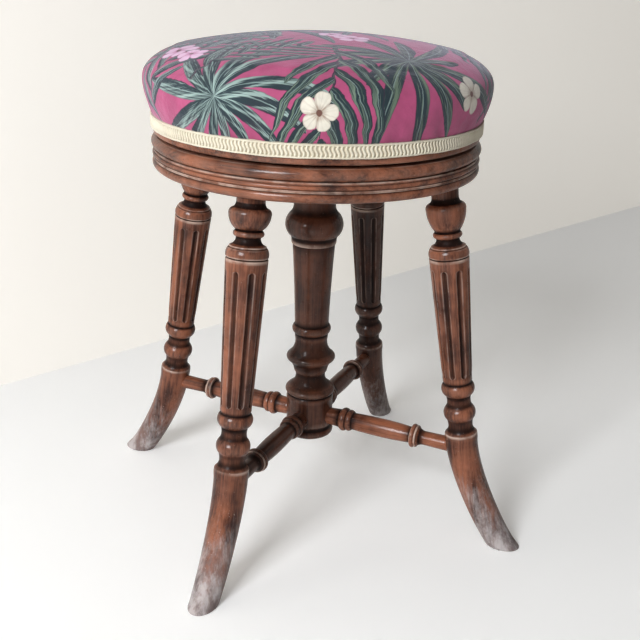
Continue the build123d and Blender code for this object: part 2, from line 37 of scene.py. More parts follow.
from math import atan2, cos, pi, radians, sin, sqrt, tan

import bmesh
import bpy
import numpy as np
from bpy.props import FloatProperty, FloatVectorProperty, IntProperty, PointerProperty
from mathutils import Matrix, Vector, noise
from mathutils.kdtree import KDTree

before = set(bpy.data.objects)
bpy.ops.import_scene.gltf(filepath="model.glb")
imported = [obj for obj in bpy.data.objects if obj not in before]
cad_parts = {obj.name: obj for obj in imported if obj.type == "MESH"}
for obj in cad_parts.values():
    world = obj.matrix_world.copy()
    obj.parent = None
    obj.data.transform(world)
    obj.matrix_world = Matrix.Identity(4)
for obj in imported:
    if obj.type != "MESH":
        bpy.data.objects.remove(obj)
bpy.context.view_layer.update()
FRAME_BOTTOM, FRAME_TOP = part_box("top_frame")[0].z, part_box("top_frame")[1].z
BOARD_BOTTOM, BOARD_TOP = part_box("seat_board")[0].z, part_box("seat_board")[1].z
BOARD_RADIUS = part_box("seat_board")[1].x
BRAID_BOTTOM, BRAID_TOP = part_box("braid")[0].z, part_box("braid")[1].z
LEG_DIRECTIONS = {"front": -90.0, "right": 0.0, "back": 90.0, "left": 180.0}
AXIS = (0.0, 0.0, 1.0)
CENTRE = (0.0, 0.0, 0.0)
WELD = 1e-6
HEM_RAMP = 0.014  # height over the hem at which the cloth is free of it
EDGE_BEND, HOLLOW_BEND, BEND_RANGE = 480, 90, 500  # radians a metre
CHORD_REACH = 0.005
PROUD, DEEP = 0.0022, 0.0011  # distance from the chord at which a crest is fully lightened, as wear and painted highlight, and a hollow fully darkened, as grime and painted shade
TURN_STEP, CLOSE_GAP = radians(6), 0.0005  # a point is kept for each such turn, or gap in the close rows
BRAID_THICKNESS = 0.0013
CAMERA_PLACE = (0.4231, -0.9177, 0.6227)
CAMERA_TURN = (68.354, -1.608, 24.868)  # degrees
WALL_FOOT = (Vector((-1.2005, -1.515, 0.0)), Vector((1.5, 4.715, 0.0)))


def number(name, description, default, **more):
    return FloatProperty(name=name, description=description, default=default, **more)


def length(name, description, default, **limits):
    return number(name, description, default, unit="LENGTH", **limits)


def whole(name, description, low, high, default):
    return IntProperty(name=name, description=description, min=low, max=high, default=default)


def colour(name, description, *rgb):
    return FloatVectorProperty(
        name=name, description=description, subtype="COLOR", size=4, min=0.0, max=1.0, default=(*rgb, 1.0))


# ---------------------------------------------------------------- sizes and colours
class StoolWood(bpy.types.PropertyGroup):
    light: colour("Light wood", "The polished wood between its pores", 0.285, 0.100, 0.052)
    dark: colour("Dark wood", "The darker bands of the grain", 0.030, 0.010, 0.007)
    # This colour paints both the bare wood where the polish is worn through on an edge and a painted
    # highlight along the edges.
    rubbed: colour("Rubbed edges", "Where the polish has rubbed off an edge", 0.52, 0.38, 0.31)
    scuffed: colour("Scuffed feet", "The bare, dusty wood at the ends of the feet", 0.52, 0.48, 0.47)
    softness: length(
        "Edge softness", "How far the polished edges are rounded over", 0.0006, min=0.0002, max=0.002)
    facets: whole("Facets", "Steps round a leg, a multiple of sixteen", 32, 256, 128)


class StoolLegs(bpy.types.PropertyGroup):
    splay: number("Splay", "How far a leg leans out of upright", radians(8.5), subtype="ANGLE")
    top_pitch: length("Top pitch", "Radius of the circle of the legs' tops under the frame", 0.1411)
    foot_top: length("Foot top", "Height of the top of the foot", 0.117)
    foot_radius: length("Foot radius", "Radius of the foot at its top", 0.0174)
    toe_radius: length("Toe radius", "Radius of the foot at the floor", 0.0144)
    spread: length("Spread", "Radius of the circle the feet stand on", 0.240)
    toe_lean: number("Toe lean", "How far the foot's end leans out of upright", radians(42), subtype="ANGLE")
    top_reach: length("Top reach", "How far the foot follows the leg's line", 0.040)
    toe_reach: length("Toe reach", "How far the foot follows its toe's line", 0.023)
    toe_round: length("Toe rounding", "Wear round the rim of the toe", 0.0012)
    flutes: whole("Flutes", "Flutes round a leg", 4, 12, 8)
    flute_width: length("Flute width", "Width of a flute between its edges", 0.0062)
    flute_depth: length("Flute depth", "Depth of a flute", 0.0023)
    flute_foot: length("Flutes from", "Height of the flutes' lower ends", 0.192)
    flute_head: length("Flutes to", "Height of the flutes' upper ends", 0.310)
    front_lift: length("Front leg's lift", "How much longer the front leg's shaft is", 0.0165)


class StoolCushion(bpy.types.PropertyGroup):
    ground: colour("Ground", "Ground of the printed cotton", 0.46, 0.080, 0.190)
    leaf: colour("Leaf", "Shaded side of the printed leaves", 0.016, 0.034, 0.042)
    leaf_light: colour("Leaf light", "Lit side of the printed leaves", 0.34, 0.46, 0.43)
    leaf_olive: colour("Leaf olive", "Lit side of the yellower leaves", 0.17, 0.24, 0.13)
    leaf_line: colour("Leaf line", "Outlines of the printed leaves", 0.060, 0.018, 0.050)
    blossom: colour("Blossom", "The pink blossoms", 0.86, 0.58, 0.77)
    cream: colour("Cream blossom", "The cream blossoms", 0.80, 0.75, 0.64)
    voxel: length("Cloth mesh", "Mesh of the cloth before it is puffed up", 0.0036, min=0.002, max=0.01)
    pressure: number("Stuffing pressure", "How hard the stuffing presses the cover out", 4.0)
    slack: number("Slack", "Share by which the cloth is too large", 0.012, min=0.0, max=0.1)
    inset: length("Inset", "How much smaller the cover starts than the finished cushion", 0.0022)
    puff: length("Puff", "Furthest that the stuffing may move the cover out", 0.0030)
    sink: length("Sink", "Furthest that the cover may lie under the finished cushion", 0.0008)
    pleats: whole("Pleats", "Small pleats round the hem", 0, 200, 42)
    pleat_depth: length("Pleat depth", "Depth of the deepest pleat", 0.0030)


class StoolBraid(bpy.types.PropertyGroup):
    thread: colour("Braid", "The braid's threads", 0.70, 0.645, 0.51)
    tape: colour("Tape", "The tape behind the threads", 0.50, 0.42, 0.29)
    bars: whole("Bars", "Bars round the braid", 60, 400, 276)
    bar_radius: length("Bar radius", "Radius of one bar's thread", 0.00145)
    cord_radius: length("Cord radius", "Radius of the cords along the braid's edges", 0.0010)
    wave: length("Wave", "How far a bar swings to each side", 0.0010)


class StoolIron(bpy.types.PropertyGroup):
    lead: length("Lead", "Rise of the screw in one turn", 0.012)
    starts: whole("Starts", "Threads side by side", 1, 4, 2)
    thread_depth: length("Thread depth", "Depth of the screw's thread", 0.0015)
    nut_circle: length("Nut's screws", "Radius of the circle of the nut's screws", 0.033)
    plate_circle: length("Plate's screws", "Radius of the circle of the seat plate's screws", 0.048)
    head_radius: length("Head radius", "Radius of a wood screw's head", 0.0044)
    slot_width: length("Slot width", "Width of the slot in a wood screw", 0.0011)
    slot_depth: length("Slot depth", "Depth of the slot in a wood screw", 0.0010)


class StoolStage(bpy.types.PropertyGroup):
    floor: colour("Floor", "The floor", 0.90, 0.895, 0.88)
    wall: colour("Wall", "The wall", 0.90, 0.865, 0.805)
    window_power: number("Window", "Light from the window", 78.0, subtype="POWER")
    fill_power: number("Side window", "Light from the side window", 32.0, subtype="POWER")
    sky: number("Room light", "Strength of the light all round", 0.175)
    lens: number("Lens", "Focal length for 36 mm film", 54.53, unit="CAMERA")


# ---------------------------------------------------------------- meshes
def cut(work, at, across, inner=False, outer=False):
    """Cut the whole bmesh at a plane, and clear away what lies before or beyond it."""
    geometry = work.verts[:] + work.edges[:] + work.faces[:]
    bmesh.ops.bisect_plane(
        work, geom=geometry, plane_co=at, plane_no=across, clear_inner=inner, clear_outer=outer)


def weld(work, apart=WELD):
    bmesh.ops.remove_doubles(work, verts=work.verts, dist=apart)


def move(work, matrix):
    bmesh.ops.transform(work, matrix=matrix, verts=work.verts)


def face_out(work):
    bmesh.ops.recalc_face_normals(work, faces=work.faces)


def spin_once(work, line, steps, closed=False):
    """Join points with edges and spin them once round the Z axis."""
    edges = [work.edges.new(pair) for pair in zip(line, line[1:] + (line[:1] if closed else []))]
    bmesh.ops.spin(work, geom=line + edges, cent=CENTRE, axis=AXIS, angle=2 * pi, steps=steps, use_merge=True)


def verts_in(geometry):
    return [item for item in geometry if isinstance(item, bmesh.types.BMVert)]


def draw_on(work, rim):
    """Extrude a rim of edges. Gives the new rim and its points."""
    drawn = bmesh.ops.extrude_edge_only(work, edges=rim)["geom"]
    return [item for item in drawn if isinstance(item, bmesh.types.BMEdge)], verts_in(drawn)


def add_to(work, part):
    """Move one bmesh into another."""
    mesh = bpy.data.meshes.new("part")
    part.to_mesh(mesh)
    part.free()
    work.from_mesh(mesh)
    bpy.data.meshes.remove(mesh)


def in_scene(name, data):
    """A new object with its data, in the scene."""
    thing = bpy.data.objects.new(name, data)
    bpy.context.scene.collection.objects.link(thing)
    return thing


def placed(name, work):
    """A new object with the bmesh's mesh."""
    mesh = bpy.data.meshes.new(name)
    work.to_mesh(mesh)
    work.free()
    return in_scene(name, mesh)


def dress(piece, body, slot, material, *nodes):
    """Give a piece its finish and smooth faces, and let it ride on its body and stand for its nodes."""
    piece.data.materials.clear()
    piece.data.materials.append(material)
    for face in piece.data.polygons:
        face.use_smooth = True
    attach(piece, body)
    if nodes:
        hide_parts(*nodes)
    return piece


# ---------------------------------------------------------------- outlines of turned pieces
def cut_outline(node, place, turn, low=-1.0, high=1.0):
    """Radius and height along the outside of a turned node, where a half plane through its axis cuts it."""
    work = bmesh.new()
    work.from_mesh(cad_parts[node].data)
    weld(work)
    move(work, Matrix.Rotation(-turn, 4, "Z") @ place.inverted())
    cut(work, (0, 0, low), AXIS, inner=True)
    cut(work, (0, 0, high), AXIS, outer=True)
    cut(work, CENTRE, (1, 0, 0), inner=True)
    cut(work, CENTRE, (0, 1, 0), inner=True, outer=True)
    weld(work)
    ends = [v for v in work.verts if len(v.link_edges) == 1]
    here = min(ends or work.verts[:], key=lambda v: (round(v.co.z, 5), -v.co.x))
    walked, line = {here}, [(here.co.x, here.co.z)]
    while True:
        ways = [e.other_vert(here) for e in here.link_edges if e.other_vert(here) not in walked]
        if not ways:
            break
        here = max(ways, key=lambda v: v.co.z) if len(line) == 1 else ways[0]
        walked.add(here)
        line.append((max(here.co.x, 0.0), here.co.z))
    work.free()
    return np.array(line)


def run_along(line):
    """How far along the outline each of its points lies."""
    return np.concatenate([[0.0], np.cumsum(np.hypot(*np.diff(line, axis=0).T))])


def evenly(line, step, closed):
    """The same outline with its points a step apart."""
    if closed:
        line = np.vstack([line, line[:1]])
    run = run_along(line)
    marks = np.linspace(0.0, run[-1], max(int(run[-1] / step), 8))
    spaced = np.column_stack([np.interp(marks, run, line[:, 0]), np.interp(marks, run, line[:, 1])])
    return spaced[:-1] if closed else spaced


def blurred(values, rounds, closed):
    """Each value evened out with its neighbours, some rounds over."""
    for _ in range(rounds):
        before, after = np.roll(values, 1, axis=0), np.roll(values, -1, axis=0)
        soft = before * 0.25 + values * 0.5 + after * 0.25
        if not closed:
            soft[0], soft[-1] = values[0], values[-1]
        values = soft
    return values


class Outline:
    """A turned outline with its corners eased, and how much each point is an edge or a hollow."""

    def __init__(self, line, closed=False, widest_gap=0.006, close_rows=()):
        wood = bpy.context.scene.stool_wood
        step = wood.softness / 3
        fine = blurred(evenly(line, step, closed), 3, closed)
        ahead, behind = np.roll(fine, -2, axis=0), np.roll(fine, 2, axis=0)
        first, second = fine - behind, ahead - fine
        cross = first[:, 0] * second[:, 1] - first[:, 1] * second[:, 0]
        turn = np.arctan2(cross, (first * second).sum(axis=1))
        if not closed:
            turn[:2] = turn[-2:] = 0.0
        bend = turn / (2 * step)
        deep = self.depth_under_chord(fine, int(CHORD_REACH / step), closed)
        # Sharp outer corners are marked to be paled, and broad convex lands a little: partly wear, partly a
        # painted highlight.
        crest = blurred(np.clip((bend - EDGE_BEND) / BEND_RANGE, 0, 1)[:, None], 5, closed)[:, 0]
        ridge = np.clip(crest * 2.2, 0, 1) + np.clip(-deep / PROUD, 0, 1) * 0.10
        # Coves and other hollows are marked to be darkened: partly grime, partly painted shade.
        sharp = blurred(np.clip((-bend - HOLLOW_BEND) / BEND_RANGE, 0, 1)[:, None], 8, closed)[:, 0]
        hollow = np.maximum(sharp, np.clip(deep / DEEP, 0, 1) * 0.95)
        kept, turned, last = [0], 0.0, 0
        for k in range(1, len(fine) - 1):
            turned += abs(turn[k]) / 2
            gap = (k - last) * step
            close = any(low < fine[k][1] < high for low, high in close_rows)
            if turned > TURN_STEP or gap > (CLOSE_GAP if close else widest_gap):
                kept.append(k)
                turned, last = 0.0, k
        kept.append(len(fine) - 1)
        self.points, self.ridge, self.hollow = fine[kept], ridge[kept], hollow[kept]
        self.closed = closed

    @staticmethod
    def depth_under_chord(line, reach, closed):
        """How far each point lies inside the straight line between its neighbours at some reach."""
        ahead, behind = np.roll(line, -reach, axis=0), np.roll(line, reach, axis=0)
        chord, offset = ahead - behind, line - behind
        depth = chord[:, 0] * offset[:, 1] - chord[:, 1] * offset[:, 0]
        depth /= np.maximum(np.hypot(*chord.T), 1e-6)
        if not closed:
            depth[:reach] = depth[-reach:] = 0.0
        return depth

    def carry_on(self, radius, height, at_start=False):
        """One more point at an end, as where a piece goes on into its mortise."""
        place = 0 if at_start else len(self.points)
        self.points = np.insert(self.points, place, (radius, height), axis=0)
        self.ridge, self.hollow = np.insert(self.ridge, place, 0.0), np.insert(self.hollow, place, 0.0)
        return self


def turn_on_lathe(outline, facets):
    """A bmesh of the outline spun round its axis, with its edges and hollows marked."""
    work = bmesh.new()
    ridge = work.verts.layers.float.new("ridge")
    hollow = work.verts.layers.float.new("hollow")
    work.verts.layers.float_vector.new("grain")
    work.verts.layers.float.new("scuff")
    work.verts.layers.float.new("stain_and_shade")
    line = []
    for (radius, height), edge, dip in zip(outline.points, outline.ridge, outline.hollow):
        vert = work.verts.new((radius, 0.0, height))
        vert[ridge], vert[hollow] = edge, dip
        line.append(vert)
    spin_once(work, line, facets, outline.closed)
    weld(work, 2e-7)
    face_out(work)
    return work


def lay_grain(work, along, shift, darker=0.0):
    """Mark where each point lies in its plank, with the grain along the plank's third axis, and how much
    darker the piece is, partly by staining and partly as painted shade.
    """
    grain, stain_and_shade = work.verts.layers.float_vector["grain"], work.verts.layers.float["stain_and_shade"]
    for vert in work.verts:
        x, y, z = vert.co
        plank = {"z": (x, y, z), "x": (z, y, x), "y": (x, z, y)}[along]
        vert[grain] = Vector(plank) + Vector((0.31 * shift, 0.17 * shift, 0.23 * shift))
        vert[stain_and_shade] = darker


# ---------------------------------------------------------------- finishes
def reckoned(operation, swapped=False):
    """A method that lays down one maths node for a value and what it is reckoned with."""
    def method(value, *other):
        return value.make.math(operation, *((*other, value) if swapped else (value, *other)))
    return method


class Value:
    """The output of a node, which can be reckoned with like a plain number."""
    __add__, __radd__ = reckoned("ADD"), reckoned("ADD", swapped=True)
    __sub__, __rsub__ = reckoned("SUBTRACT"), reckoned("SUBTRACT", swapped=True)
    __mul__, __truediv__ = reckoned("MULTIPLY"), reckoned("DIVIDE")
    __pow__, __abs__ = reckoned("POWER"), reckoned("ABSOLUTE")

    def __init__(self, make, socket):
        self.make, self.socket = make, socket

    def clamped(self):
        """The value kept from 0 to 1 by nodes, as the renderer would leave a clamp of its own to the end."""
        return self.make.math("MINIMUM", self.make.math("MAXIMUM", self, 0.0), 1.0)


class Recipe:
    """Nodes of one finish, or of one motif that a finish repeats."""

    def __init__(self, tree):
        self.tree = tree

    def put(self, socket, value):
        """Link a value to a socket, or set the socket to a plain one."""
        if isinstance(value, Value):
            value = value.socket
        if isinstance(value, bpy.types.NodeSocket):
            self.tree.links.new(value, socket)
        else:
            socket.default_value = value

    def feed(self, node, **inputs):
        """Link or set a node's inputs by name."""
        for key, value in inputs.items():
            self.put(node.inputs[key.replace("_", " ")], value)

    def step(self, kind, output, settings=None, /, *values, **inputs):
        """Lay down a node, with its inputs in order or by name, and give one of its outputs."""
        node = self.tree.nodes.new("ShaderNode" + kind)
        for key, value in (settings or {}).items():
            setattr(node, key, value)
        for socket, value in zip(node.inputs, values):
            self.put(socket, value)
        self.feed(node, **inputs)
        return Value(self, node.outputs[output])

    def math(self, operation, *values):
        return self.step("Math", 0, {"operation": operation}, *values)

    def scaled(self, vector, *factors):
        return self.step("VectorMath", 0, {"operation": "MULTIPLY"}, vector, factors)

    def noise(self, vector, scale, detail=3.0, roughness=0.55, distortion=0.0):
        return self.step("TexNoise", 0, Vector=vector, Scale=scale, Detail=detail, Roughness=roughness,
                         Distortion=distortion)

    def streaks(self, value, scale, offset):
        """Noise along a single value."""
        return self.step(
            "TexNoise", 0, {"noise_dimensions": "1D"}, W=value * scale + offset, Scale=1.0, Detail=2.0)

    def chance(self, key):
        """A random number from 0 to 1 for each key."""
        return self.step("TexWhiteNoise", "Value", {"noise_dimensions": "1D"}, W=key)

    def between(self, value, low, high):
        """0 below low, 1 above high and smooth in between."""
        settings = {"interpolation_type": "SMOOTHSTEP", "clamp": False}
        return self.step("MapRange", 0, settings, Value=value, From_Min=low, From_Max=high)

    def mix(self, share, first, second, blend="MIX"):
        mixed = self.step("Mix", 2, {"data_type": "RGBA", "blend_type": blend}, share)
        self.put(mixed.socket.node.inputs[6], first)
        self.put(mixed.socket.node.inputs[7], second)
        return mixed

    def attribute(self, name, output):
        return self.step("Attribute", output, {"attribute_name": name})

    def bump(self, height, distance, strength=1.0, **under):
        return self.step("Bump", 0, Height=height, Distance=distance, Strength=strength, **under)


def new_finish(name, **constants):
    """A material with one Principled shader, and the recipe that its nodes are written in."""
    material = bpy.data.materials.new(name)
    material.use_nodes = True
    make, shader = Recipe(material.node_tree), material.node_tree.nodes["Principled BSDF"]
    make.feed(shader, **constants)
    return material, make, shader


def polished_mahogany():
    """Worn French polish over mahogany: streaks, pores, hollows darkened partly by grime and partly as
    painted shade, pale edges that are partly worn bare and partly a painted highlight, pieces darkened as a
    whole partly by staining and partly as painted shade, and scuffed toes.
    """
    if "polished_mahogany" in bpy.data.materials:
        return bpy.data.materials["polished_mahogany"]
    wood = bpy.context.scene.stool_wood
    material, make, shader = new_finish("polished_mahogany", Coat_Roughness=0.18, Specular_IOR_Level=0.08)
    grain = make.attribute("grain", "Vector")
    ridge, hollow = make.attribute("ridge", "Fac"), make.attribute("hollow", "Fac")
    scuff = make.attribute("scuff", "Fac")
    band = make.noise(make.scaled(grain, 45, 45, 4), 1.0, 2.0, 0.5, 0.6)
    streak = make.noise(make.scaled(grain, 420, 420, 14), 1.0, 4.0, 0.6, 0.3)
    pores = make.noise(make.scaled(grain, 1500, 1500, 60), 1.0, 2.0, 0.5)
    blotch = make.noise(grain, 26.0, 3.0, 0.6)
    share = band * 0.65 + streak * 0.38 + blotch * 0.5
    tone = make.mix(make.between(share, 0.55, 0.94), wood.dark, wood.light)
    tone = make.mix(make.between(pores, 0.6, 0.72) * 0.55, tone, (0.02, 0.008, 0.005, 1))
    patchy = make.noise(grain, 130.0, 4.0, 0.65)
    # Hollows darkened towards near-black: partly grime, partly painted shade.
    dirt_and_shade = (hollow * (0.8 + patchy * 0.45)).clamped()
    # Some pieces are darkened as a whole: partly by staining, partly as painted shade.
    stained_and_shaded = make.mix(make.attribute("stain_and_shade", "Fac"), tone, (0.016, 0.007, 0.005, 1))
    tone = make.mix(dirt_and_shade, stained_and_shaded, (0.010, 0.004, 0.003, 1))
    # Pale edges in broken lengths: partly bare wood where the polish is worn, partly a painted highlight.
    wear_and_highlight_length = make.between(make.noise(grain, 42.0, 3.0, 0.6), 0.36, 0.62)
    rubbing_and_highlight = (ridge * (0.12 + wear_and_highlight_length * 0.75)).clamped()
    tone = make.mix(rubbing_and_highlight, tone, wood.rubbed)
    nicks = make.between(make.noise(grain, 520.0, 2.0, 0.5), 0.69, 0.73)
    tone = make.mix(nicks * (ridge * 0.5 + (0.12 + scuff)).clamped(), tone, wood.rubbed)
    scrapes = make.noise(make.scaled(grain, 420, 420, 40), 1.0, 5.0, 0.72)
    smears = make.noise(make.scaled(grain, 60, 60, 28), 1.0, 4.0, 0.7)
    bare = make.between(scuff + (scrapes * 0.75 + smears * 0.5), 0.86, 1.6)
    grime = make.mix(make.between(smears, 0.36, 0.64), (0.20, 0.165, 0.160, 1), wood.scuffed)
    tone = make.mix(bare * 0.86, tone, grime)
    rough = (0.22 + patchy * 0.14 + hollow * 0.25 + bare * 0.4).clamped()
    make.feed(shader, Base_Color=tone, Coat_Weight=(1.0 - bare) * (1.0 - dirt_and_shade) * 0.45, Roughness=rough)
    dents = make.bump(make.noise(grain, 190.0, 3.0, 0.6), 0.00022, 0.8)
    fine = streak - make.between(pores, 0.58, 0.7) * 0.8
    make.feed(shader, Normal=make.bump(fine, 0.00007, 0.9, Normal=dents))
    return material


def blackened_iron():
    """Old iron with brown rust in patches and bright worn places."""
    if "blackened_iron" in bpy.data.materials:
        return bpy.data.materials["blackened_iron"]
    material, make, shader = new_finish("blackened_iron", Metallic=0.85)
    place = make.step("TexCoord", "Object")
    rust = make.between(make.noise(place, 70.0, 6.0, 0.7), 0.5, 0.68)
    tone = make.mix(make.noise(place, 240.0, 3.0), (0.075, 0.070, 0.066, 1), (0.16, 0.15, 0.14, 1))
    tone = make.mix(rust * 0.7, tone, (0.13, 0.055, 0.026, 1))
    pits = make.bump(make.noise(place, 500.0, 4.0), 0.00012, 0.7)
    make.feed(shader, Base_Color=tone, Roughness=0.42 + rust * 0.35, Normal=pits)
    return material


def oiled_steel():
    """The bright, greasy thread of the screw."""
    material, make, shader = new_finish("oiled_steel", Metallic=1.0)
    place = make.step("TexCoord", "Object")
    grease = make.between(make.noise(place, 60.0, 4.0, 0.6), 0.42, 0.66)
    tone = make.mix(grease, (0.36, 0.34, 0.31, 1), (0.07, 0.055, 0.045, 1))
    scratches = make.bump(make.noise(make.scaled(place, 1, 1, 9), 300.0, 3.0), 0.00005, 0.7)
    make.feed(shader, Base_Color=tone, Roughness=0.24 + grease * 0.3, Normal=scratches)
    return material


def motif_group(name, *inputs):
    """A node group that paints one motif over the cloth's colour, and the recipe it is written with."""
    group = bpy.data.node_groups.new(name, "ShaderNodeTree")
    group.interface.new_socket(name="Cloth", in_out="INPUT", socket_type="NodeSocketColor")
    for key in ("Across", "Along", "Middle across", "Middle along", "Cosine", "Sine", *inputs, "Seed"):
        group.interface.new_socket(name=key, in_out="INPUT", socket_type="NodeSocketFloat")
    group.interface.new_socket(name="Cloth", in_out="OUTPUT", socket_type="NodeSocketColor")
    make = Recipe(group)
    given = {socket.name: Value(make, socket) for socket in group.nodes.new("NodeGroupInput").outputs}
    return group, make, given, group.nodes.new("NodeGroupOutput").inputs["Cloth"]


def turned_and_sized(given):
    """The cloth's place as seen from a motif that has its own middle, turn and size."""
    across = given["Across"] - given["Middle across"]
    along = given["Along"] - given["Middle along"]
    forward = across * given["Cosine"] + along * given["Sine"]
    sideways = along * given["Cosine"] - across * given["Sine"]
    return forward, sideways


FROND_TRAITS = ("Pairs", "Breadth", "Bend", "Light", "Olive")
FAN_TRAITS = ("Blades", "Width", "Bend", "Light", "Olive")
BLOSSOM_TRAITS = ("Cream",)


def round_middle(make, given):
    """How far the cloth's place is from a motif's middle, and its angle round it."""
    forward, sideways = turned_and_sized(given)
    distance = make.math("SQRT", forward * forward + sideways * sideways)
    return distance, make.math("ARCTAN2", sideways, forward)


def petal_at(make, given, count, petals):
    """The petal or blade at a place, its key, and a random number of its own."""
    petal = make.math("FLOOR", count + 0.5)
    key = make.math("WRAP", petal, petals, 0.0) + given["Seed"]
    return petal, key, make.chance(key)


def painted_leaf(make, given, key, far, side, breadth):
    """The brushed colours of one leaflet: side is -1 to 1 across it, far 0 to 1 along it."""
    cushion = bpy.context.scene.stool_cushion
    brush = make.streaks(side * 3.2 + far, 1.7, key)
    patch = make.streaks(far * 3.0 - side, 1.3, key)
    stroke = (brush - 0.5) * 1.7 + (patch - 0.5) * 2.6
    shine = make.between(side * 0.45 + stroke, -0.15, 0.75)
    green = make.mix(given["Olive"], cushion.leaf_light, cushion.leaf_olive)
    tone = make.mix((shine * given["Light"]).clamped(), cushion.leaf, green)
    tone = make.mix(make.between(abs(side), 0.1, 0.02) * 0.55, tone, cushion.leaf_light)
    return make.mix(make.between(breadth, 0.24, 0.02) * 0.8, tone, cushion.leaf_line)


def frond_motif():
    """A group that paints one feathered frond, one unit long."""
    group, make, given, result = motif_group("frond_motif", *FROND_TRAITS)
    along, sideways = turned_and_sized(given)
    wobble = (make.streaks(along, 5.0, given["Seed"]) - 0.5) * 0.08
    across = sideways + wobble - given["Bend"] * (along * along)
    side = make.math("SIGN", across)
    out = abs(across)
    # Leaflets lean forward, and curl more the further out they are.
    lean = out * 0.85 + out * out * 1.1
    count = (along - lean) * given["Pairs"] + side * 0.25
    leaflet = make.math("FLOOR", count)
    middle = make.math("FRACT", count) - 0.5
    key = side * 37.3 + (leaflet + given["Seed"])
    chance = make.chance(key)
    root = (leaflet + 0.5) / given["Pairs"]
    swell = make.math("SINE", (root * 0.8 + 0.17).clamped() * pi) ** 0.75
    reach = swell * given["Breadth"] * (0.7 + chance * 0.5)
    far = out / make.math("MAXIMUM", reach, 0.001)
    rise = (far + 0.03).clamped() ** 0.45
    belly = rise * (1.0 - far).clamped() ** 0.55
    half = make.math("MAXIMUM", belly * 0.78, 0.001)
    inside = half - abs(middle)
    on_rib = make.math("GREATER_THAN", root, 0.0) * make.math("LESS_THAN", root, 1.0)
    blade = make.between(inside, 0.0, 0.04) * on_rib
    rib_half = (1.02 - along) * 0.016
    rib = make.math("LESS_THAN", out, rib_half) * make.math("GREATER_THAN", along, -0.15)
    tone = painted_leaf(make, given, key, far, middle / half, inside / half)
    make.put(result, make.mix(make.math("MAXIMUM", blade, rib), given["Cloth"], tone))
    return group


def fan_motif():
    """A group that paints a burst of long blades round one point; the longest is one unit."""
    group, make, given, result = motif_group("fan_motif", *FAN_TRAITS)
    out, angle = round_middle(make, given)
    count = (angle + out * given["Bend"]) * (given["Blades"] / (2 * pi))
    blade, key, chance = petal_at(make, given, count, given["Blades"])
    other = make.chance(key + 91.7)
    sway = (other - 0.5) * 0.45
    off_line = count - blade - sway
    reach = 0.42 + chance * 0.58
    far = out / reach
    apart = off_line / given["Blades"] * (out * (2 * pi))
    rise = (far + 0.02).clamped() ** 0.6
    belly = rise * (1.0 - far).clamped() ** 0.7
    half = make.math("MAXIMUM", belly * given["Width"], 0.0001)
    inside = (half - abs(apart)) / half
    share = make.between(inside, 0.0, 0.12) * make.math("LESS_THAN", far, 0.985)
    tone = painted_leaf(make, given, key, far, apart / half, inside)
    make.put(result, make.mix(share, given["Cloth"], tone))
    return group


def blossom_motif():
    """A group that paints one five-petalled blossom, a unit across."""
    group, make, given, result = motif_group("blossom_motif", *BLOSSOM_TRAITS)
    cushion = bpy.context.scene.stool_cushion
    distance, angle = round_middle(make, given)
    count = angle * (2.5 / pi)
    petal, _, chance = petal_at(make, given, count, 5.0)
    off_line = count - petal
    rim = 0.24 + make.math("COSINE", off_line * pi) ** 0.45 * (0.2 + chance * 0.07)
    inside = rim + make.streaks(count, 2.3, given["Seed"]) * 0.05 - distance
    petal_light = make.mix(given["Cream"], cushion.blossom, cushion.cream)
    petal_dark = make.mix(given["Cream"], (0.60, 0.19, 0.40, 1), (0.40, 0.31, 0.24, 1))
    folds = make.streaks(count, 7.0, given["Seed"]) - 0.5
    parting = make.between(abs(off_line), 0.3, 0.52)
    throat = make.between(distance, 0.26, 0.08)
    tone = make.mix((parting * 0.65 + folds * 0.9 + throat * 0.7).clamped(), petal_light, petal_dark)
    tone = make.mix(make.between(distance, 0.085, 0.06), tone, (0.16, 0.075, 0.055, 1))
    tone = make.mix(make.between(inside, 0.045, 0.015) * 0.45, tone, petal_dark)
    make.put(result, make.mix(make.between(inside, 0.0, 0.02), given["Cloth"], tone))
    return group


# The motifs on the flat cloth: centimetres across and along from the middle of the seat, degrees turned and
# length, and then the traits of the kind.
FRONDS = (
    (-19.5, -8.5, 8, 16.0, 7, 0.42, 0.22, 1.0, 0.1),
    (5.5, -8.0, -62, 15.0, 6, 0.50, -0.20, 0.8, 0.7),
    (20.5, 1.0, 122, 17.0, 7, 0.44, 0.24, 1.0, 0.2),
    (-6.0, 20.0, -158, 16.0, 7, 0.44, -0.22, 0.8, 0.5),
    (3.5, 6.0, 58, 15.5, 7, 0.46, 0.22, 0.7, 0.9),
    (-13.5, -18.0, 60, 14.0, 6, 0.46, -0.24, 1.0, 0.0),
    (-3.5, -3.5, 172, 9.5, 6, 0.42, 0.30, 0.9, 0.4),
    (9.5, 8.5, -35, 11.5, 6, 0.46, 0.25, 0.8, 0.3),
    (-4.5, -15.5, 62, 11.0, 6, 0.44, -0.25, 0.9, 0.3),
)
FANS = (
    (-7.5, 2.5, 30, 14.5, 15, 0.140, 0.35, 0.9, 0.3),
    (12.0, -6.5, 80, 14.0, 13, 0.150, -0.40, 0.7, 0.8),
    (-2.0, -19.0, 10, 14.0, 13, 0.150, 0.40, 1.0, 0.1),
    (13.5, 13.0, 0, 12.5, 12, 0.150, 0.35, 1.0, 0.2),
    (-17.0, 11.0, 50, 11.5, 12, 0.150, -0.35, 0.8, 0.6),
    (-20.5, -3.0, 0, 10.5, 11, 0.150, -0.30, 1.1, 0.0),
    (1.0, 4.5, 20, 8.0, 10, 0.160, 0.40, 0.9, 0.5),
)
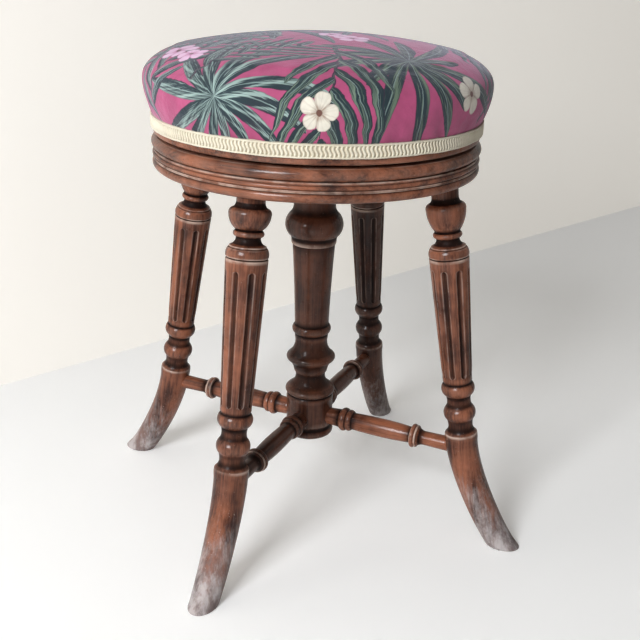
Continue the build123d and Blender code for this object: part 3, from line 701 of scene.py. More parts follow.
BLOSSOMS = (
    (-10.0, -10.5, 10, 3.9, 0),
    (-7.4, -12.4, 40, 3.3, 0),
    (4.2, -1.5, 50, 3.8, 0),
    (1.6, -0.6, 20, 3.0, 0),
    (8.5, -18.0, 30, 4.0, 1),
    (-2.5, 9.5, 80, 3.9, 1),
    (18.5, -4.0, 15, 4.0, 1),
    (-17.5, 1.5, 60, 4.0, 1),
    (2.0, 17.0, 20, 3.9, 0),
    (-12.5, 18.0, 70, 3.8, 1),
)


def printed_cotton():
    """Fronds, fans and blossoms printed on a pink cotton ground, faintly woven."""
    cushion = bpy.context.scene.stool_cushion
    material, make, shader = new_finish(
        "botanical_cotton", Sheen_Weight=0.35, Sheen_Tint=(0.88, 0.84, 1.0, 1.0), Sheen_Roughness=0.45,
        Specular_IOR_Level=0.25, Roughness=0.72)
    cloth = make.attribute("print", "Vector")
    spot = make.step("SeparateXYZ", 0, Vector=cloth).socket.node.outputs
    tone = cushion.ground
    layers = ((fan_motif(), FANS, 5.3, 2.0), (frond_motif(), FRONDS, 3.7, 1.0),
              (blossom_motif(), BLOSSOMS, 7.1, 0.5))
    for motif, motifs, stride, first in layers:
        for k, (across, along, turned, size, *traits) in enumerate(motifs):
            way = Vector((cos(radians(turned)), sin(radians(turned)))) / size
            tone = make.step("Group", 0, {"node_tree": motif}, tone, spot["X"], spot["Y"], across, along,
                             way.x, way.y, *traits, stride * k + first)
    wash = make.between(make.noise(cloth, 0.35, 3.0, 0.6), 0.3, 0.7)
    faded = make.mix(wash, (0.80, 0.80, 0.80, 1), (1.0, 1.0, 1.0, 1))
    tone = make.mix(1.0, tone, faded, "MULTIPLY")
    # Painted shade in the creases of the pleats at the hem.
    crease_shade = make.attribute("crease", "Fac") * 0.55
    make.feed(shader, Base_Color=make.mix(crease_shade, tone, (0.05, 0.010, 0.026, 1)))
    threads, crossing = [
        make.step("TexWave", "Fac", {"wave_type": "BANDS", "bands_direction": way}, Vector=cloth, Scale=5.0)
        for way in "XY"]
    weave = threads * crossing
    creases = make.bump(make.noise(cloth, 0.55, 4.0, 0.55, 0.8), 0.0020, 0.6)
    make.feed(shader, Normal=make.bump(weave, 0.00006, 0.5, Normal=creases))
    return material


def plain_cloth(name, tone, grain_scale):
    """Undyed cloth or wadding with a soft, uneven face."""
    material, make, shader = new_finish(name, Roughness=0.9, Sheen_Weight=0.2)
    place = make.step("TexCoord", "Object")
    lumps = make.noise(place, grain_scale, 5.0, 0.65)
    dark = tuple(0.6 * c for c in tone[:3]) + (1.0,)
    make.feed(shader, Base_Color=make.mix(lumps, dark, tone), Normal=make.bump(lumps, 0.0005, 0.6))
    return material


def gimp_thread():
    """Twisted cotton threads, a little dusty in patches, with the tape behind in its own colour and painted
    shade in the grooves of the cords' twist.
    """
    braid = bpy.context.scene.stool_braid
    material, make, shader = new_finish("gimp_thread", Roughness=0.62, Sheen_Weight=0.3)
    place = make.step("TexCoord", "Object")
    ply = make.noise(make.scaled(place, 1, 1, 0.35), 2600.0, 2.0, 0.5)
    dust = make.between(make.noise(place, 45.0, 4.0, 0.6), 0.35, 0.7)
    tone = make.mix(dust * 0.35, braid.thread, (0.55, 0.46, 0.31, 1))
    # The tape takes its own colour here; the cords' twist grooves take it as painted shade.
    tone = make.mix((make.attribute("hollow", "Fac") * 0.9).clamped(), tone, braid.tape)
    make.feed(shader, Base_Color=tone, Normal=make.bump(ply, 0.00012, 0.6))
    return material


# ---------------------------------------------------------------- the frame, column, rails and board
class STOOL_OT_top_frame(bpy.types.Operator):
    """Turn the moulded round frame under the seat"""
    bl_idname = "stool.top_frame"
    bl_label = "Top frame"

    def execute(self, context):
        edge = Outline(cut_outline("top_frame", Matrix(), radians(22.5)), closed=True, widest_gap=0.012)
        work = turn_on_lathe(edge, context.scene.stool_wood.facets * 2)
        lay_grain(work, "x", 1.0)
        dress(placed("moulded_frame", work), "base", "mahogany", polished_mahogany(), "top_frame")
        return {"FINISHED"}


class STOOL_OT_column(bpy.types.Operator):
    """Turn the hollow column that houses the screw"""
    bl_idname = "stool.column"
    bl_label = "Column"

    def execute(self, context):
        housing = Outline(cut_outline("column", Matrix(), radians(45)))
        work = turn_on_lathe(housing, context.scene.stool_wood.facets)
        # The column is darkened as a whole, partly as painted shade under the seat.
        lay_grain(work, "z", 2.0, 0.58)
        dress(placed("turned_column", work), "base", "mahogany", polished_mahogany(), "column")
        return {"FINISHED"}


class STOOL_OT_seat_board(bpy.types.Operator):
    """Turn the round board that carries the seat"""
    bl_idname = "stool.seat_board"
    bl_label = "Seat board"

    def execute(self, context):
        board = Outline(cut_outline("seat_board", Matrix(), 0.0), widest_gap=0.012)
        work = turn_on_lathe(board, context.scene.stool_wood.facets * 2)
        lay_grain(work, "y", 3.0)
        dress(placed("round_board", work), "seat", "seat_timber", polished_mahogany(), "seat_board")
        return {"FINISHED"}


class STOOL_OT_stretchers(bpy.types.Operator):
    """Turn the four stretchers between the column and the feet"""
    bl_idname = "stool.stretchers"
    bl_label = "Stretchers"

    def execute(self, context):
        low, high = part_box("stretcher_right")
        drum, foot = 0.0266, foot_curve_start().x - context.scene.stool_legs.foot_radius
        inner_end, outer_end = drum - 0.006, foot + 0.009
        lay_flat = Matrix.Translation((0, 0, (low.z + high.z) / 2)) @ Matrix.Rotation(pi / 2, 4, "Y")
        rail = Outline(cut_outline("stretcher_right", lay_flat, 0.0, drum + 0.0008, foot - 0.0015))
        first, last = rail.points[0][0], rail.points[-1][0]
        rail.carry_on(first, inner_end, at_start=True).carry_on(0.0, inner_end, at_start=True)
        rail.carry_on(last, outer_end).carry_on(0.0, outer_end)
        for k, (side, direction) in enumerate(LEG_DIRECTIONS.items()):
            work = turn_on_lathe(rail, context.scene.stool_wood.facets // 2)
            # The front and back stretchers are darkened as a whole.
            lay_grain(work, "z", 4.0 + k, 0.60 if side in ("front", "back") else 0.0)
            turned = Matrix.Rotation(radians(direction), 4, "Z") @ lay_flat @ Matrix.Rotation(1.3 * k, 4, "Z")
            move(work, turned)
            piece = placed("turned_stretcher_" + side, work)
            dress(piece, "base", "mahogany", polished_mahogany(), "stretcher_" + side)
        return {"FINISHED"}


# ---------------------------------------------------------------- legs
def foot_curve_start():
    """Where the leg's axis meets the top of its foot, for the leg at +X."""
    legs = bpy.context.scene.stool_legs
    return Vector((legs.top_pitch + (FRAME_BOTTOM - legs.foot_top) * tan(legs.splay), 0.0, legs.foot_top))


def leg_place():
    """The leg's own frame, its third axis up the leg's axis, for the leg at +X."""
    splay = bpy.context.scene.stool_legs.splay
    return Matrix.Translation(foot_curve_start()) @ Matrix.Rotation(-splay, 4, "Y")


def up_the_leg(height):
    """Distance along the leg's axis from the top of its foot to a height over the floor."""
    legs = bpy.context.scene.stool_legs
    return (height - legs.foot_top) / cos(legs.splay)


def carve_flutes(work, low, high):
    """Push the shaft in along round-ended grooves, and set their edges on rows of points."""
    legs = bpy.context.scene.stool_legs
    ridge, hollow = work.verts.layers.float["ridge"], work.verts.layers.float["hollow"]
    pitch = 2 * pi / legs.flutes
    cutter = (legs.flute_width ** 2 / 4 + legs.flute_depth ** 2) / (2 * legs.flute_depth)
    standoff = cutter - legs.flute_depth
    margin, blend = 0.004, 0.003  # how far past its grooves the shaft is changed, and eased back
    for vert in work.verts:
        height, radius = vert.co.z, Vector((vert.co.x, vert.co.y)).length
        if not low - margin < height < high + margin or radius < 0.001:
            continue
        beyond = max(low + legs.flute_width / 2 - height, height - high + legs.flute_width / 2, 0.0)
        bite = cutter ** 2 - beyond ** 2
        reach, half = radius + standoff, 0.0
        if bite > standoff ** 2:
            meeting = (reach ** 2 + radius ** 2 - bite) / (2 * reach)
            half = sqrt(max(radius ** 2 - meeting ** 2, 0.0))
        angle = atan2(vert.co.y, vert.co.x)
        flute = round(angle / pitch)
        share = (angle - flute * pitch) / (pitch / 2)
        spread, side = abs(share), (1 if share >= 0 else -1)
        narrow = max(half, 0.12 * legs.flute_width)
        squeeze = min(max((legs.flute_width / 2 + margin - beyond) / blend, 0.0), 1.0)
        edge_turn = np.arcsin(min(narrow / radius, 0.9)) * squeeze + pitch / 4 * (1 - squeeze)
        if spread <= 0.5:
            turned = edge_turn * spread / 0.5
        else:
            turned = edge_turn + (pitch / 2 - edge_turn) * (spread - 0.5) / 0.5
        inward, sideways = radius * cos(turned), radius * sin(turned)
        if half > 0 and spread < 0.51:
            sideways = half * spread / 0.5
            inward = min(reach - sqrt(max(bite - sideways ** 2, 0.0)), inward)
            # The inside of each flute is marked to be darkened: partly grime, partly painted shade.
            vert[hollow] = max(vert[hollow], 0.80 * (1 - (spread / 0.5) ** 2))
        # The flutes' edges are marked to be paled: partly wear, partly a painted highlight.
        if half > 0 and abs(spread - 0.5) < 0.02:
            vert[ridge] = max(vert[ridge], 0.45)
        flat = Matrix.Rotation(flute * pitch, 2) @ Vector((inward, sideways * side))
        vert.co.x, vert.co.y = flat.x, flat.y


def sweep_foot(work):
    """Draw the leg's open lower rim out along the foot's curve, then saw it off at the floor."""
    legs = bpy.context.scene.stool_legs
    start, end = foot_curve_start(), Vector((legs.spread, 0.0, 0.0))
    down_leg = Vector((sin(legs.splay), 0.0, -cos(legs.splay)))
    down_toe = Vector((sin(legs.toe_lean), 0.0, -cos(legs.toe_lean)))
    bend_from, bend_to = start + down_leg * legs.top_reach, end - down_toe * legs.toe_reach
    rim = [e for e in work.edges if e.is_boundary]
    before = leg_place()
    scuff, ridge = work.verts.layers.float["scuff"], work.verts.layers.float["ridge"]
    hollow = work.verts.layers.float["hollow"]
    stations, past_floor = 40, 0.016
    for k in range(1, stations + 2):
        t = min(k / stations, 1.0)
        back = 1 - t
        middle = start * back ** 3 + bend_from * 3 * back * back * t
        middle = middle + bend_to * 3 * back * t * t + end * t ** 3
        tangent = (bend_from - start) * back * back + (bend_to - bend_from) * 2 * back * t
        tangent = (tangent + (end - bend_to) * t * t).normalized()
        if k > stations:
            middle = end + down_toe * past_floor
        size = (legs.foot_radius + (legs.toe_radius - legs.foot_radius) * t) / legs.foot_radius
        here = Matrix.Translation(middle) @ Matrix.Rotation(-atan2(tangent.x, -tangent.z), 4, "Y")
        here = here @ Matrix.Scale(size, 4)
        rim, ring = draw_on(work, rim)
        bmesh.ops.transform(work, matrix=here @ before.inverted(), verts=ring)
        before = here
        for vert in ring:
            vert[ridge] = vert[hollow] = 0.0
            vert[scuff] = t
    cut(work, CENTRE, AXIS, inner=True)
    sawn = [e for e in work.edges if e.is_boundary]
    bmesh.ops.edgeloop_fill(work, edges=sawn)
    bmesh.ops.bevel(
        work, geom=sawn, offset=legs.toe_round, offset_type="OFFSET", segments=3, profile=0.5, affect="EDGES",
        material=-1)
    face_out(work)


class STOOL_OT_legs(bpy.types.Operator):
    """Turn and flute the four legs and sweep out their feet"""
    bl_idname = "stool.legs"
    bl_label = "Legs"

    def execute(self, context):
        legs = context.scene.stool_legs
        for k, (side, direction) in enumerate(LEG_DIRECTIONS.items()):
            aim = Matrix.Rotation(radians(direction), 4, "Z")
            low = up_the_leg(legs.flute_foot)
            high = up_the_leg(legs.flute_head + (legs.front_lift if side == "front" else 0.0))
            top = up_the_leg(FRAME_BOTTOM)
            line = cut_outline("leg_" + side, aim @ leg_place(), pi / legs.flutes, 0.0, top - 0.005)
            leg = Outline(line, close_rows=((low - 0.001, low + 0.004), (high - 0.004, high + 0.001)))
            leg.carry_on(leg.points[-1][0] + 0.0003, top + 0.004).carry_on(0.0, top + 0.004)
            work = turn_on_lathe(leg, context.scene.stool_wood.facets)
            carve_flutes(work, low, high)
            move(work, leg_place())
            sweep_foot(work)
            move(work, leg_place().inverted())
            # The back leg is darkened as a whole, mostly as painted shade under the seat.
            lay_grain(work, "z", 8.0 + k, 0.70 if side == "back" else 0.0)
            move(work, aim @ leg_place())
            dress(placed("fluted_leg_" + side, work), "base", "mahogany", polished_mahogany(), "leg_" + side)
        return {"FINISHED"}


# ---------------------------------------------------------------- ironwork
class STOOL_OT_screw(bpy.types.Operator):
    """Cut the two-start thread of the seat's screw"""
    bl_idname = "stool.screw"
    bl_label = "Screw"

    def execute(self, context):
        iron = context.scene.stool_iron
        low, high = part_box("screw_spindle")
        crest, root = high.x, high.x - iron.thread_depth
        pitch = iron.lead / iron.starts
        tooth = ((0.00, root + 0.0002), (0.08, root), (0.36, root), (0.44, root + 0.0003),
                 (0.56, crest - 0.0003), (0.62, crest), (0.88, crest), (0.94, crest - 0.0003))
        work = bmesh.new()
        line = []
        height = low.z - iron.lead
        while height < high.z + iron.lead:
            line += [work.verts.new((radius, 0.0, height + share * pitch)) for share, radius in tooth]
            height += pitch
        edges = [work.edges.new(pair) for pair in zip(line, line[1:])]
        steps = 48
        hidden_end = 0.0082  # of the screw's foot, inside its stop
        bmesh.ops.spin(work, geom=line + edges, cent=CENTRE, axis=AXIS, dvec=(0, 0, iron.lead / steps),
                       angle=2 * pi, steps=steps, use_merge=False)
        weld(work, 1e-5)
        cut(work, (0, 0, low.z + hidden_end), AXIS, inner=True)
        cut(work, (0, 0, BOARD_BOTTOM + 0.001), AXIS, outer=True)
        bmesh.ops.holes_fill(work, edges=[e for e in work.edges if e.is_boundary], sides=0)
        face_out(work)
        dress(placed("threaded_screw", work), "seat", "steel_screw", oiled_steel(), "screw_spindle")
        return {"FINISHED"}


def slotted_screws(name, body, nodes, count, circle, height, flip):
    """A ring of countersunk wood screws with slotted heads."""
    iron = bpy.context.scene.stool_iron
    head, shank = iron.head_radius, 0.0021
    outline = ((0.0, 0.0), (head - 0.0002, 0.0), (head, -0.0002), (shank, -0.0026), (shank, -0.0090),
               (0.0, -0.0130))
    work = bmesh.new()
    for k in range(count):
        one = bmesh.new()
        spin_once(one, [one.verts.new((radius, 0.0, z)) for radius, z in outline], 32)
        weld(one, 1e-7)
        for side in (-1, 1):
            cut(one, (side * iron.slot_width / 2, 0, 0), (1, 0, 0))
        floor = [f for f in one.faces if f.calc_center_median().z > -0.00005
                 and abs(f.calc_center_median().x) < iron.slot_width / 2]
        sunk = bmesh.ops.extrude_face_region(one, geom=floor)["geom"]
        bmesh.ops.translate(one, verts=verts_in(sunk), vec=(0, 0, -iron.slot_depth))
        bmesh.ops.delete(one, geom=floor, context="FACES")
        face_out(one)
        around = Matrix.Rotation((k + 0.5) * 2 * pi / count, 4, "Z") @ Matrix.Translation((circle, 0, height))
        spun_in = Matrix.Rotation(pi if flip else 0.0, 4, "X") @ Matrix.Rotation(2.1 * k + 0.4, 4, "Z")
        move(one, around @ spun_in)
        add_to(work, one)
    dress(placed(name, work), body, "iron", blackened_iron(), *nodes)


class STOOL_OT_ironwork(bpy.types.Operator):
    """Blacken the nut, the plates and the stop, and drive their screws"""
    bl_idname = "stool.ironwork"
    bl_label = "Ironwork"

    def execute(self, context):
        iron = context.scene.stool_iron
        for node in ("nut_plate", "seat_plate", "stop_washer", "spindle_stop"):
            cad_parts[node].material_slots[0].material = blackened_iron()
        slotted_screws("nut_screws", "base", ["nut_plate_screws"], 4, iron.nut_circle, FRAME_TOP, False)
        slotted_screws(
            "plate_screws", "seat", ["seat_plate_screws"], 6, iron.plate_circle, BOARD_BOTTOM, True)
        return {"FINISHED"}


# ---------------------------------------------------------------- the padded seat
def dome_line():
    """The cover's face from the top of the braid to the middle of the crown."""
    line = cut_outline("seat_cover", Matrix(), 0.0)
    hem = max(range(len(line)), key=lambda k: (round(-line[k][1], 5), line[k][0]))
    return line[hem:]


def set_in(line, depth):
    """An outline moved in by a depth, square to itself, but not at the hem."""
    tangent = np.gradient(line, axis=0)
    tangent /= np.maximum(np.hypot(*tangent.T), 1e-9)[:, None]
    depths = depth * np.clip((line[:, 1] - BRAID_TOP + 0.001) / HEM_RAMP, 0.0, 1.0)[:, None]
    moved = line + np.column_stack([-tangent[:, 1], tangent[:, 0]]) * depths
    moved[:, 0] = np.maximum(moved[:, 0], 0.0)
    moved[-1, 0] = 0.0
    return moved


def padded_form(name, line, base):
    """A closed mesh object of a spun dome with a flat underside."""
    points = np.vstack([[0.0, base], [line[0][0], base], line[line[:, 1] > base + 0.0005]])
    work = bmesh.new()
    spin_once(work, [work.verts.new((radius, 0.0, z)) for radius, z in points], 192)
    weld(work)
    face_out(work)
    return placed(name, work)


def settled_mesh(piece):
    """The piece's mesh as its modifiers leave it."""
    seen = piece.evaluated_get(bpy.context.evaluated_depsgraph_get())
    return bpy.data.meshes.new_from_object(seen)


def puff_up(piece, pinned_below):
    """Press the cover out from inside, with its hem held, and no further than the cushion's puff."""
    cushion = bpy.context.scene.stool_cushion
    rest = [v.co.copy() for v in piece.data.vertices]
    held = piece.vertex_groups.new(name="held")
    held.add([k for k, co in enumerate(rest) if co.z < pinned_below], 1.0, "REPLACE")
    cloth = piece.modifiers.new("cloth", "CLOTH")
    cloth.settings.vertex_group_mass = "held"
    cloth.settings.quality = 6
    cloth.settings.mass = 0.25
    cloth.settings.use_pressure = True
    cloth.settings.uniform_pressure_force = cushion.pressure
    cloth.settings.shrink_min = -cushion.slack
    cloth.settings.bending_stiffness = 0.3
    cloth.settings.effector_weights.gravity = 0.0
    cloth.point_cache.frame_end = 20
    for moment in range(1, cloth.point_cache.frame_end + 1):
        bpy.context.scene.frame_set(moment)
    puffed = settled_mesh(piece)
    piece.modifiers.clear()
    piece.vertex_groups.clear()
    outward = [v.normal.copy() for v in piece.data.vertices]
    for vert, out, was, now in zip(piece.data.vertices, outward, rest, puffed.vertices):
        if was.z > pinned_below:
            move = now.co - was
            swell = min(max(move.dot(out), cushion.inset - cushion.sink), cushion.puff)
            fade = min((was.z - pinned_below) / HEM_RAMP, 1.0)
            vert.co = was + out * swell * fade
    bpy.data.meshes.remove(puffed)
    bpy.context.scene.frame_set(1)


def pleat_the_hem(piece):
    """Small uneven pleats that fade upwards from the braid."""
    cushion = bpy.context.scene.stool_cushion
    crease = piece.data.attributes.new("crease", "FLOAT", "POINT")
    low, high = BRAID_TOP - 0.004, BRAID_TOP + 0.045
    full_rise = 0.008  # height over the braid at which the pleats have their full depth
    for vert in piece.data.vertices:
        x, y, z = vert.co
        if z < low or z > high:
            continue
        angle, rise = atan2(y, x), max(z - BRAID_TOP, 0.0)
        depth = 0.0
        for k in (-1, 0, 1):
            pleat = round(angle / (2 * pi) * cushion.pleats) + k
            chance = noise.cell_vector((pleat % cushion.pleats + 0.5, 3.5, 7.5))
            centre = (pleat + 0.7 * (chance.x - 0.5)) * 2 * pi / cushion.pleats
            centre += (chance.y - 0.5) * 0.9 * rise / BOARD_RADIUS
            away = (angle - centre + pi) % (2 * pi) - pi
            width = 0.0042 + 0.0030 * chance.z + 0.12 * rise
            fade = np.exp(-rise / (0.009 + 0.020 * chance.y))
            depth += chance.x * fade * np.exp(-(away * BOARD_RADIUS / width) ** 2)
        depth = min(depth, 1.0)
        # Each pleat's depth is kept to paint shade into its crease.
        crease.data[vert.index].value = depth
        depth *= min(rise / full_rise, 1.0)
        pull = 1 - cushion.pleat_depth * depth / Vector((x, y)).length
        vert.co.x, vert.co.y = x * pull, y * pull


class STOOL_OT_cover(bpy.types.Operator):
    """Draw the printed cotton over the crowned seat"""
    bl_idname = "stool.cover"
    bl_label = "Cover"

    def execute(self, context):
        cushion = context.scene.stool_cushion
        face = evenly(dome_line(), 0.0008, False)
        form = padded_form("printed_cover", set_in(face, cushion.inset), BOARD_TOP + 0.0002)
        remesh = form.modifiers.new("even", "REMESH")
        remesh.mode = "VOXEL"
        remesh.voxel_size = cushion.voxel * 1.0
        even = settled_mesh(form)
        form.modifiers.clear()
        form.data = even
        rest = [v.co.copy() for v in form.data.vertices]
        puff_up(form, BRAID_TOP + 0.001)
        self.mark_print(form, face, rest)
        pleat_the_hem(form)
        smooth = form.modifiers.new("smooth", "SUBSURF")
        smooth.levels = smooth.render_levels = 1
        dress(form, "seat", "printed_cotton", printed_cotton(), "seat_cover")
        self.fold_hem()
        return {"FINISHED"}

    def mark_print(self, form, face, rest):
        """Give each point its place on the flat cloth, in centimetres from the middle of the crown."""
        run = run_along(face[::-1])[::-1]
        tree = KDTree(len(face))
        for k, (radius, height) in enumerate(face):
            tree.insert((radius, height, 0.0), k)
        tree.balance()
        layer = form.data.attributes.new("print", "FLOAT_VECTOR", "POINT")
        values = np.zeros((len(rest), 3), np.float32)
        for k, co in enumerate(rest):
            flat = Vector((co.x, co.y))
            found = tree.find((flat.length, co.z, 0.0))[1]
            out = flat.normalized() * run[found] * 100
            values[k] = (out.x, out.y, 0.0)
        layer.data.foreach_set("vector", values.ravel())

    def fold_hem(self):
        """The cloth's edge, drawn down over the board behind the braid."""
        outer = dome_line()[0]
        inner, bottom, top = BOARD_RADIUS + 0.0001, outer[1], BOARD_TOP + 0.001
        line = np.array([(outer[0] - 0.0002, bottom), (outer[0], bottom + 0.0004), (outer[0], top),
                         (inner, top), (inner, bottom)])
        work = turn_on_lathe(Outline(line, closed=True), 256)
        lay_grain(work, "z", 0.0)
        cloth = plain_cloth("hem_cloth", bpy.context.scene.stool_cushion.ground, 900.0)
        hem = dress(placed("cover_hem", work), "seat", "printed_cotton", cloth)


class STOOL_OT_stuffing(bpy.types.Operator):
    """Fill the seat with its crowned stuffing"""
    bl_idname = "stool.stuffing"
    bl_label = "Stuffing"

    def execute(self, context):
        under, lumps = 0.0075, 0.0012
        face = evenly(dome_line(), 0.003, False)
        form = padded_form("crowned_stuffing", set_in(face, under), BOARD_TOP + 0.001)
        for vert in form.data.vertices:
            if vert.co.z > BOARD_TOP + 0.002:
                vert.co.z += lumps * (noise.noise(vert.co * 40) - 0.5)
        wadding = plain_cloth("wadding", (0.62, 0.55, 0.42, 1.0), 420.0)
        dress(form, "seat", "stuffing", wadding, "seat_stuffing")
        return {"FINISHED"}


# ---------------------------------------------------------------- braid
class STOOL_OT_braid(bpy.types.Operator):
    """Weave the gimp braid and glue it round the hem"""
    bl_idname = "stool.braid"
    bl_label = "Braid"

    def execute(self, context):
        braid = context.scene.stool_braid
        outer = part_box("braid")[1].x
        inner = outer - BRAID_THICKNESS
        work = bmesh.new()
        work.verts.layers.float.new("hollow")
        self.weave_bars(work, braid, inner + 0.0008)
        for height in (BRAID_BOTTOM + braid.cord_radius, BRAID_TOP - braid.cord_radius):
            self.lay_cord(work, braid, outer - braid.cord_radius * 0.7, height)
        self.lay_tape(work, inner)
        for vert in work.verts:
            angle = atan2(vert.co.y, vert.co.x)
            sway = noise.noise(Vector((cos(angle) * 9, sin(angle) * 9, 0.0)))
            drop = noise.noise(Vector((cos(angle) * 4, sin(angle) * 4, 5.0)))
            low = (BRAID_TOP - vert.co.z) / (BRAID_TOP - BRAID_BOTTOM)
            vert.co.z += (0.0004 * sway + 0.0005 * drop) * low
        dress(placed("gimp_braid", work), "seat", "gimp_braid", gimp_thread(), "braid")
        return {"FINISHED"}

    def weave_bars(self, work, braid, radius):
        """One bar swings left, right and back on its way up; the rest are its copies round the seat."""
        low, high = BRAID_BOTTOM + 1.4 * braid.cord_radius, BRAID_TOP - 1.4 * braid.cord_radius
        ring = bmesh.ops.create_circle(work, segments=6, radius=1.0)["verts"]
        rim = list({e for v in ring for e in v.link_edges})
        bar, before, steps = list(ring), Matrix(), 8
        for k in range(steps + 1):
            t = k / steps
            swing = braid.wave * sin(2 * pi * t)
            plump = braid.bar_radius * (0.60 + 0.40 * sin(pi * min(max(t, 0.06), 0.94)) ** 0.5)
            here = Matrix.Translation((radius, swing, low + (high - low) * t))
            here = here @ Matrix.Diagonal((plump * 0.62, plump, 1.0, 1.0))
            if k:
                rim, ring = draw_on(work, rim)
                bar += ring
            bmesh.ops.transform(work, matrix=here @ before.inverted(), verts=ring)
            before = here
        face_out(work)
        geometry = bar + work.edges[:] + work.faces[:]
        for k in range(1, braid.bars):
            copied = bmesh.ops.duplicate(work, geom=geometry)["geom"]
            turned = Matrix.Rotation(2 * pi * k / braid.bars, 3, "Z")
            bmesh.ops.rotate(work, cent=CENTRE, matrix=turned, verts=verts_in(copied))

    def lay_cord(self, work, braid, radius, height):
        """A twisted cord right round the seat."""
        hollow = work.verts.layers.float["hollow"]
        steps, sides, plies = 1104, 8, 184
        cord = bmesh.new()
        ring = [cord.verts.new((radius + braid.cord_radius * cos(2 * pi * k / sides), 0.0,
                                height + braid.cord_radius * sin(2 * pi * k / sides))) for k in range(sides)]
        spin_once(cord, ring, steps, closed=True)
        first = len(work.verts)
        add_to(work, cord)
        work.verts.ensure_lookup_table()
        for vert in work.verts[first:]:
            angle = atan2(vert.co.y, vert.co.x)
            out = Vector((vert.co.x, vert.co.y)).length - radius
            up = vert.co.z - height
            wind = atan2(up, out) + angle * plies
            groove = max(0.0, -cos(wind * 2)) ** 2
            swell = 1 - 0.22 * groove
            flat = Vector((cos(angle), sin(angle))) * (radius + out * swell)
            vert.co = (flat.x, flat.y, height + up * swell)
            # The twist's grooves are marked for painted shade.
            vert[hollow] = 0.5 * groove

    def lay_tape(self, work, radius):
        """The flat tape that the bars are sewn on."""
        hollow = work.verts.layers.float["hollow"]
        low, high = BRAID_BOTTOM + 0.0006, BRAID_TOP - 0.0006
        back, front = radius + 0.0001, radius + 0.0005
        corners = (back, low), (front, low), (front, high), (back, high)
        line = [work.verts.new((r, 0.0, z)) for r, z in corners]
        first = len(work.verts) - 4
        spin_once(work, line, 256, closed=True)
        work.verts.ensure_lookup_table()
        for vert in work.verts[first:]:
            vert[hollow] = 1.0


# ---------------------------------------------------------------- stage
def flat_sheet(name, corners, material):
    """One flat face of the room round the stool."""
    work = bmesh.new()
    work.faces.new([work.verts.new(corner) for corner in corners])
    sheet = placed(name, work)
    sheet.data.materials.append(material)


def soft_lamp(name, place, target, size, power, tint):
    """A rectangle of light that faces its target."""
    lamp = bpy.data.lights.new(name, "AREA")
    lamp.shape = "RECTANGLE"
    lamp.size, lamp.size_y = size
    lamp.energy = power
    lamp.color = tint
    holder = in_scene(name, lamp)
    holder.location = place
    holder.rotation_euler = (Vector(target) - Vector(place)).to_track_quat("-Z", "Y").to_euler()


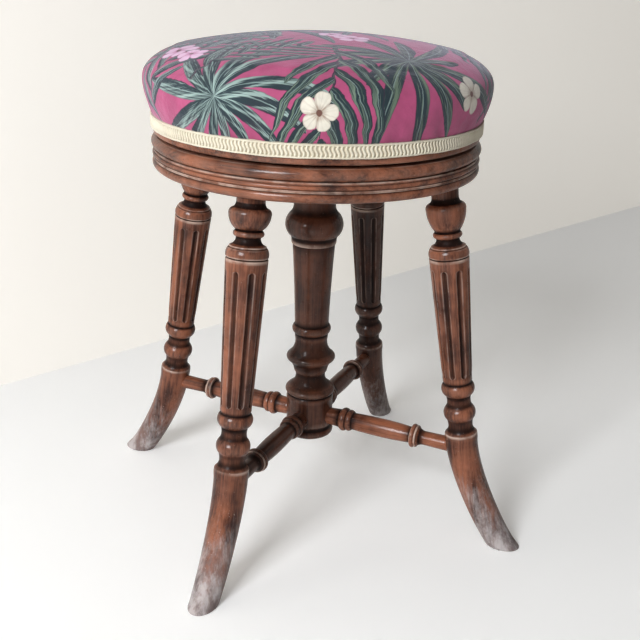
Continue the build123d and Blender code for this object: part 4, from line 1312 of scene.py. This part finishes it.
class STOOL_OT_stage(bpy.types.Operator):
    """Set the pale floor and wall, the window light and the camera"""
    bl_idname = "stool.stage"
    bl_label = "Stage"

    def execute(self, context):
        scene, stage = context.scene, context.scene.stool_stage
        floor, make, shader = new_finish("painted_floor", Roughness=0.8, Specular_IOR_Level=0.2)
        place = make.step("TexCoord", "Object")
        worn = tuple(0.95 * c for c in stage.floor[:3]) + (1.0,)
        make.feed(shader, Base_Color=make.mix(make.noise(place, 9.0, 4.0), worn, stage.floor))
        self.glow(make, shader, stage.floor, 0.20)
        flat_sheet("floor", [(-5, -5, 0), (5, -5, 0), (5, 5, 0), (-5, 5, 0)], floor)
        wall, make, shader = new_finish("painted_wall", Roughness=0.9, Specular_IOR_Level=0.1)
        make.feed(shader, Base_Color=stage.wall)
        self.glow(make, shader, stage.wall, 0.33)
        unseen, behind = make.step("BsdfTransparent", 0), make.step("NewGeometry", "Backfacing")
        either = make.step("MixShader", 0, None, behind, shader.outputs[0], unseen)
        make.feed(wall.node_tree.nodes["Material Output"], Surface=either)
        (near, far), up = WALL_FOOT, Vector((0, 0, 4.0))
        flat_sheet("wall", [near, far, far + up, near + up], wall)
        soft_lamp(
            "window", (-0.25, -2.5, 1.6), (0, 0, 0.28), (1.0, 1.25), stage.window_power, (0.94, 0.965, 1.0))
        soft_lamp(
            "side_window", (-1.6, -1.25, 0.9), (0, 0, 0.3), (0.8, 1.5), stage.fill_power, (0.74, 0.83, 1.0))
        world = bpy.data.worlds.new("room")
        world.use_nodes = True
        scene.world = world
        make = Recipe(world.node_tree)
        ray = make.step("LightPath", "Is Camera Ray").socket.node.outputs
        bounced = make.math("MAXIMUM", ray["Is Glossy Ray"], ray["Is Transmission Ray"]) * 0.3
        seen = make.math("MAXIMUM", ray["Is Camera Ray"], bounced)
        make.feed(world.node_tree.nodes["Background"], Strength=stage.sky + seen * (1 - stage.sky),
                  Color=(0.98, 0.96, 0.93, 1.0))
        camera = bpy.data.cameras.new("camera")
        camera.sensor_width, camera.lens = 36.0, stage.lens
        scene.camera = in_scene("camera", camera)
        scene.camera.location = CAMERA_PLACE
        scene.camera.rotation_euler = [radians(turn) for turn in CAMERA_TURN]
        scene.view_settings.view_transform = "Standard"
        return {"FINISHED"}

    def glow(self, make, shader, tone, strength):
        """Lift a pale surface in the picture alone, with no more light on the stool."""
        lift = make.step("LightPath", "Is Camera Ray") * strength
        make.feed(shader, Emission_Color=tone, Emission_Strength=lift)


class STOOL_PT_panel(bpy.types.Panel):
    """The stool's pieces, each with its own button"""
    bl_label = "Revolving stool"
    bl_idname = "STOOL_PT_panel"
    bl_space_type = "VIEW_3D"
    bl_region_type = "UI"
    bl_category = "Stool"

    def draw(self, context):
        for operator in OPERATORS:
            self.layout.operator(operator.bl_idname)
        for name in GROUPS:
            box = self.layout.box()
            box.label(text=name.replace("stool_", "").title())
            group = getattr(context.scene, name)
            for key in group.__annotations__:
                box.prop(group, key)


GROUPS = {
    "stool_wood": StoolWood,
    "stool_legs": StoolLegs,
    "stool_cushion": StoolCushion,
    "stool_braid": StoolBraid,
    "stool_iron": StoolIron,
    "stool_stage": StoolStage,
}
OPERATORS = (
    STOOL_OT_stage,
    STOOL_OT_top_frame,
    STOOL_OT_column,
    STOOL_OT_stretchers,
    STOOL_OT_legs,
    STOOL_OT_seat_board,
    STOOL_OT_ironwork,
    STOOL_OT_screw,
    STOOL_OT_stuffing,
    STOOL_OT_cover,
    STOOL_OT_braid,
)


def register():
    for name, group in GROUPS.items():
        bpy.utils.register_class(group)
        setattr(bpy.types.Scene, name, PointerProperty(type=group))
    for operator in (*OPERATORS, STOOL_PT_panel):
        bpy.utils.register_class(operator)


def unregister():
    for operator in (STOOL_PT_panel, *reversed(OPERATORS)):
        bpy.utils.unregister_class(operator)
    for name, group in GROUPS.items():
        delattr(bpy.types.Scene, name)
        bpy.utils.unregister_class(group)


def main():
    register()
    for operator in OPERATORS:
        group, name = operator.bl_idname.split(".")
        getattr(getattr(bpy.ops, group), name)()


if __name__ == "__main__":
    main()
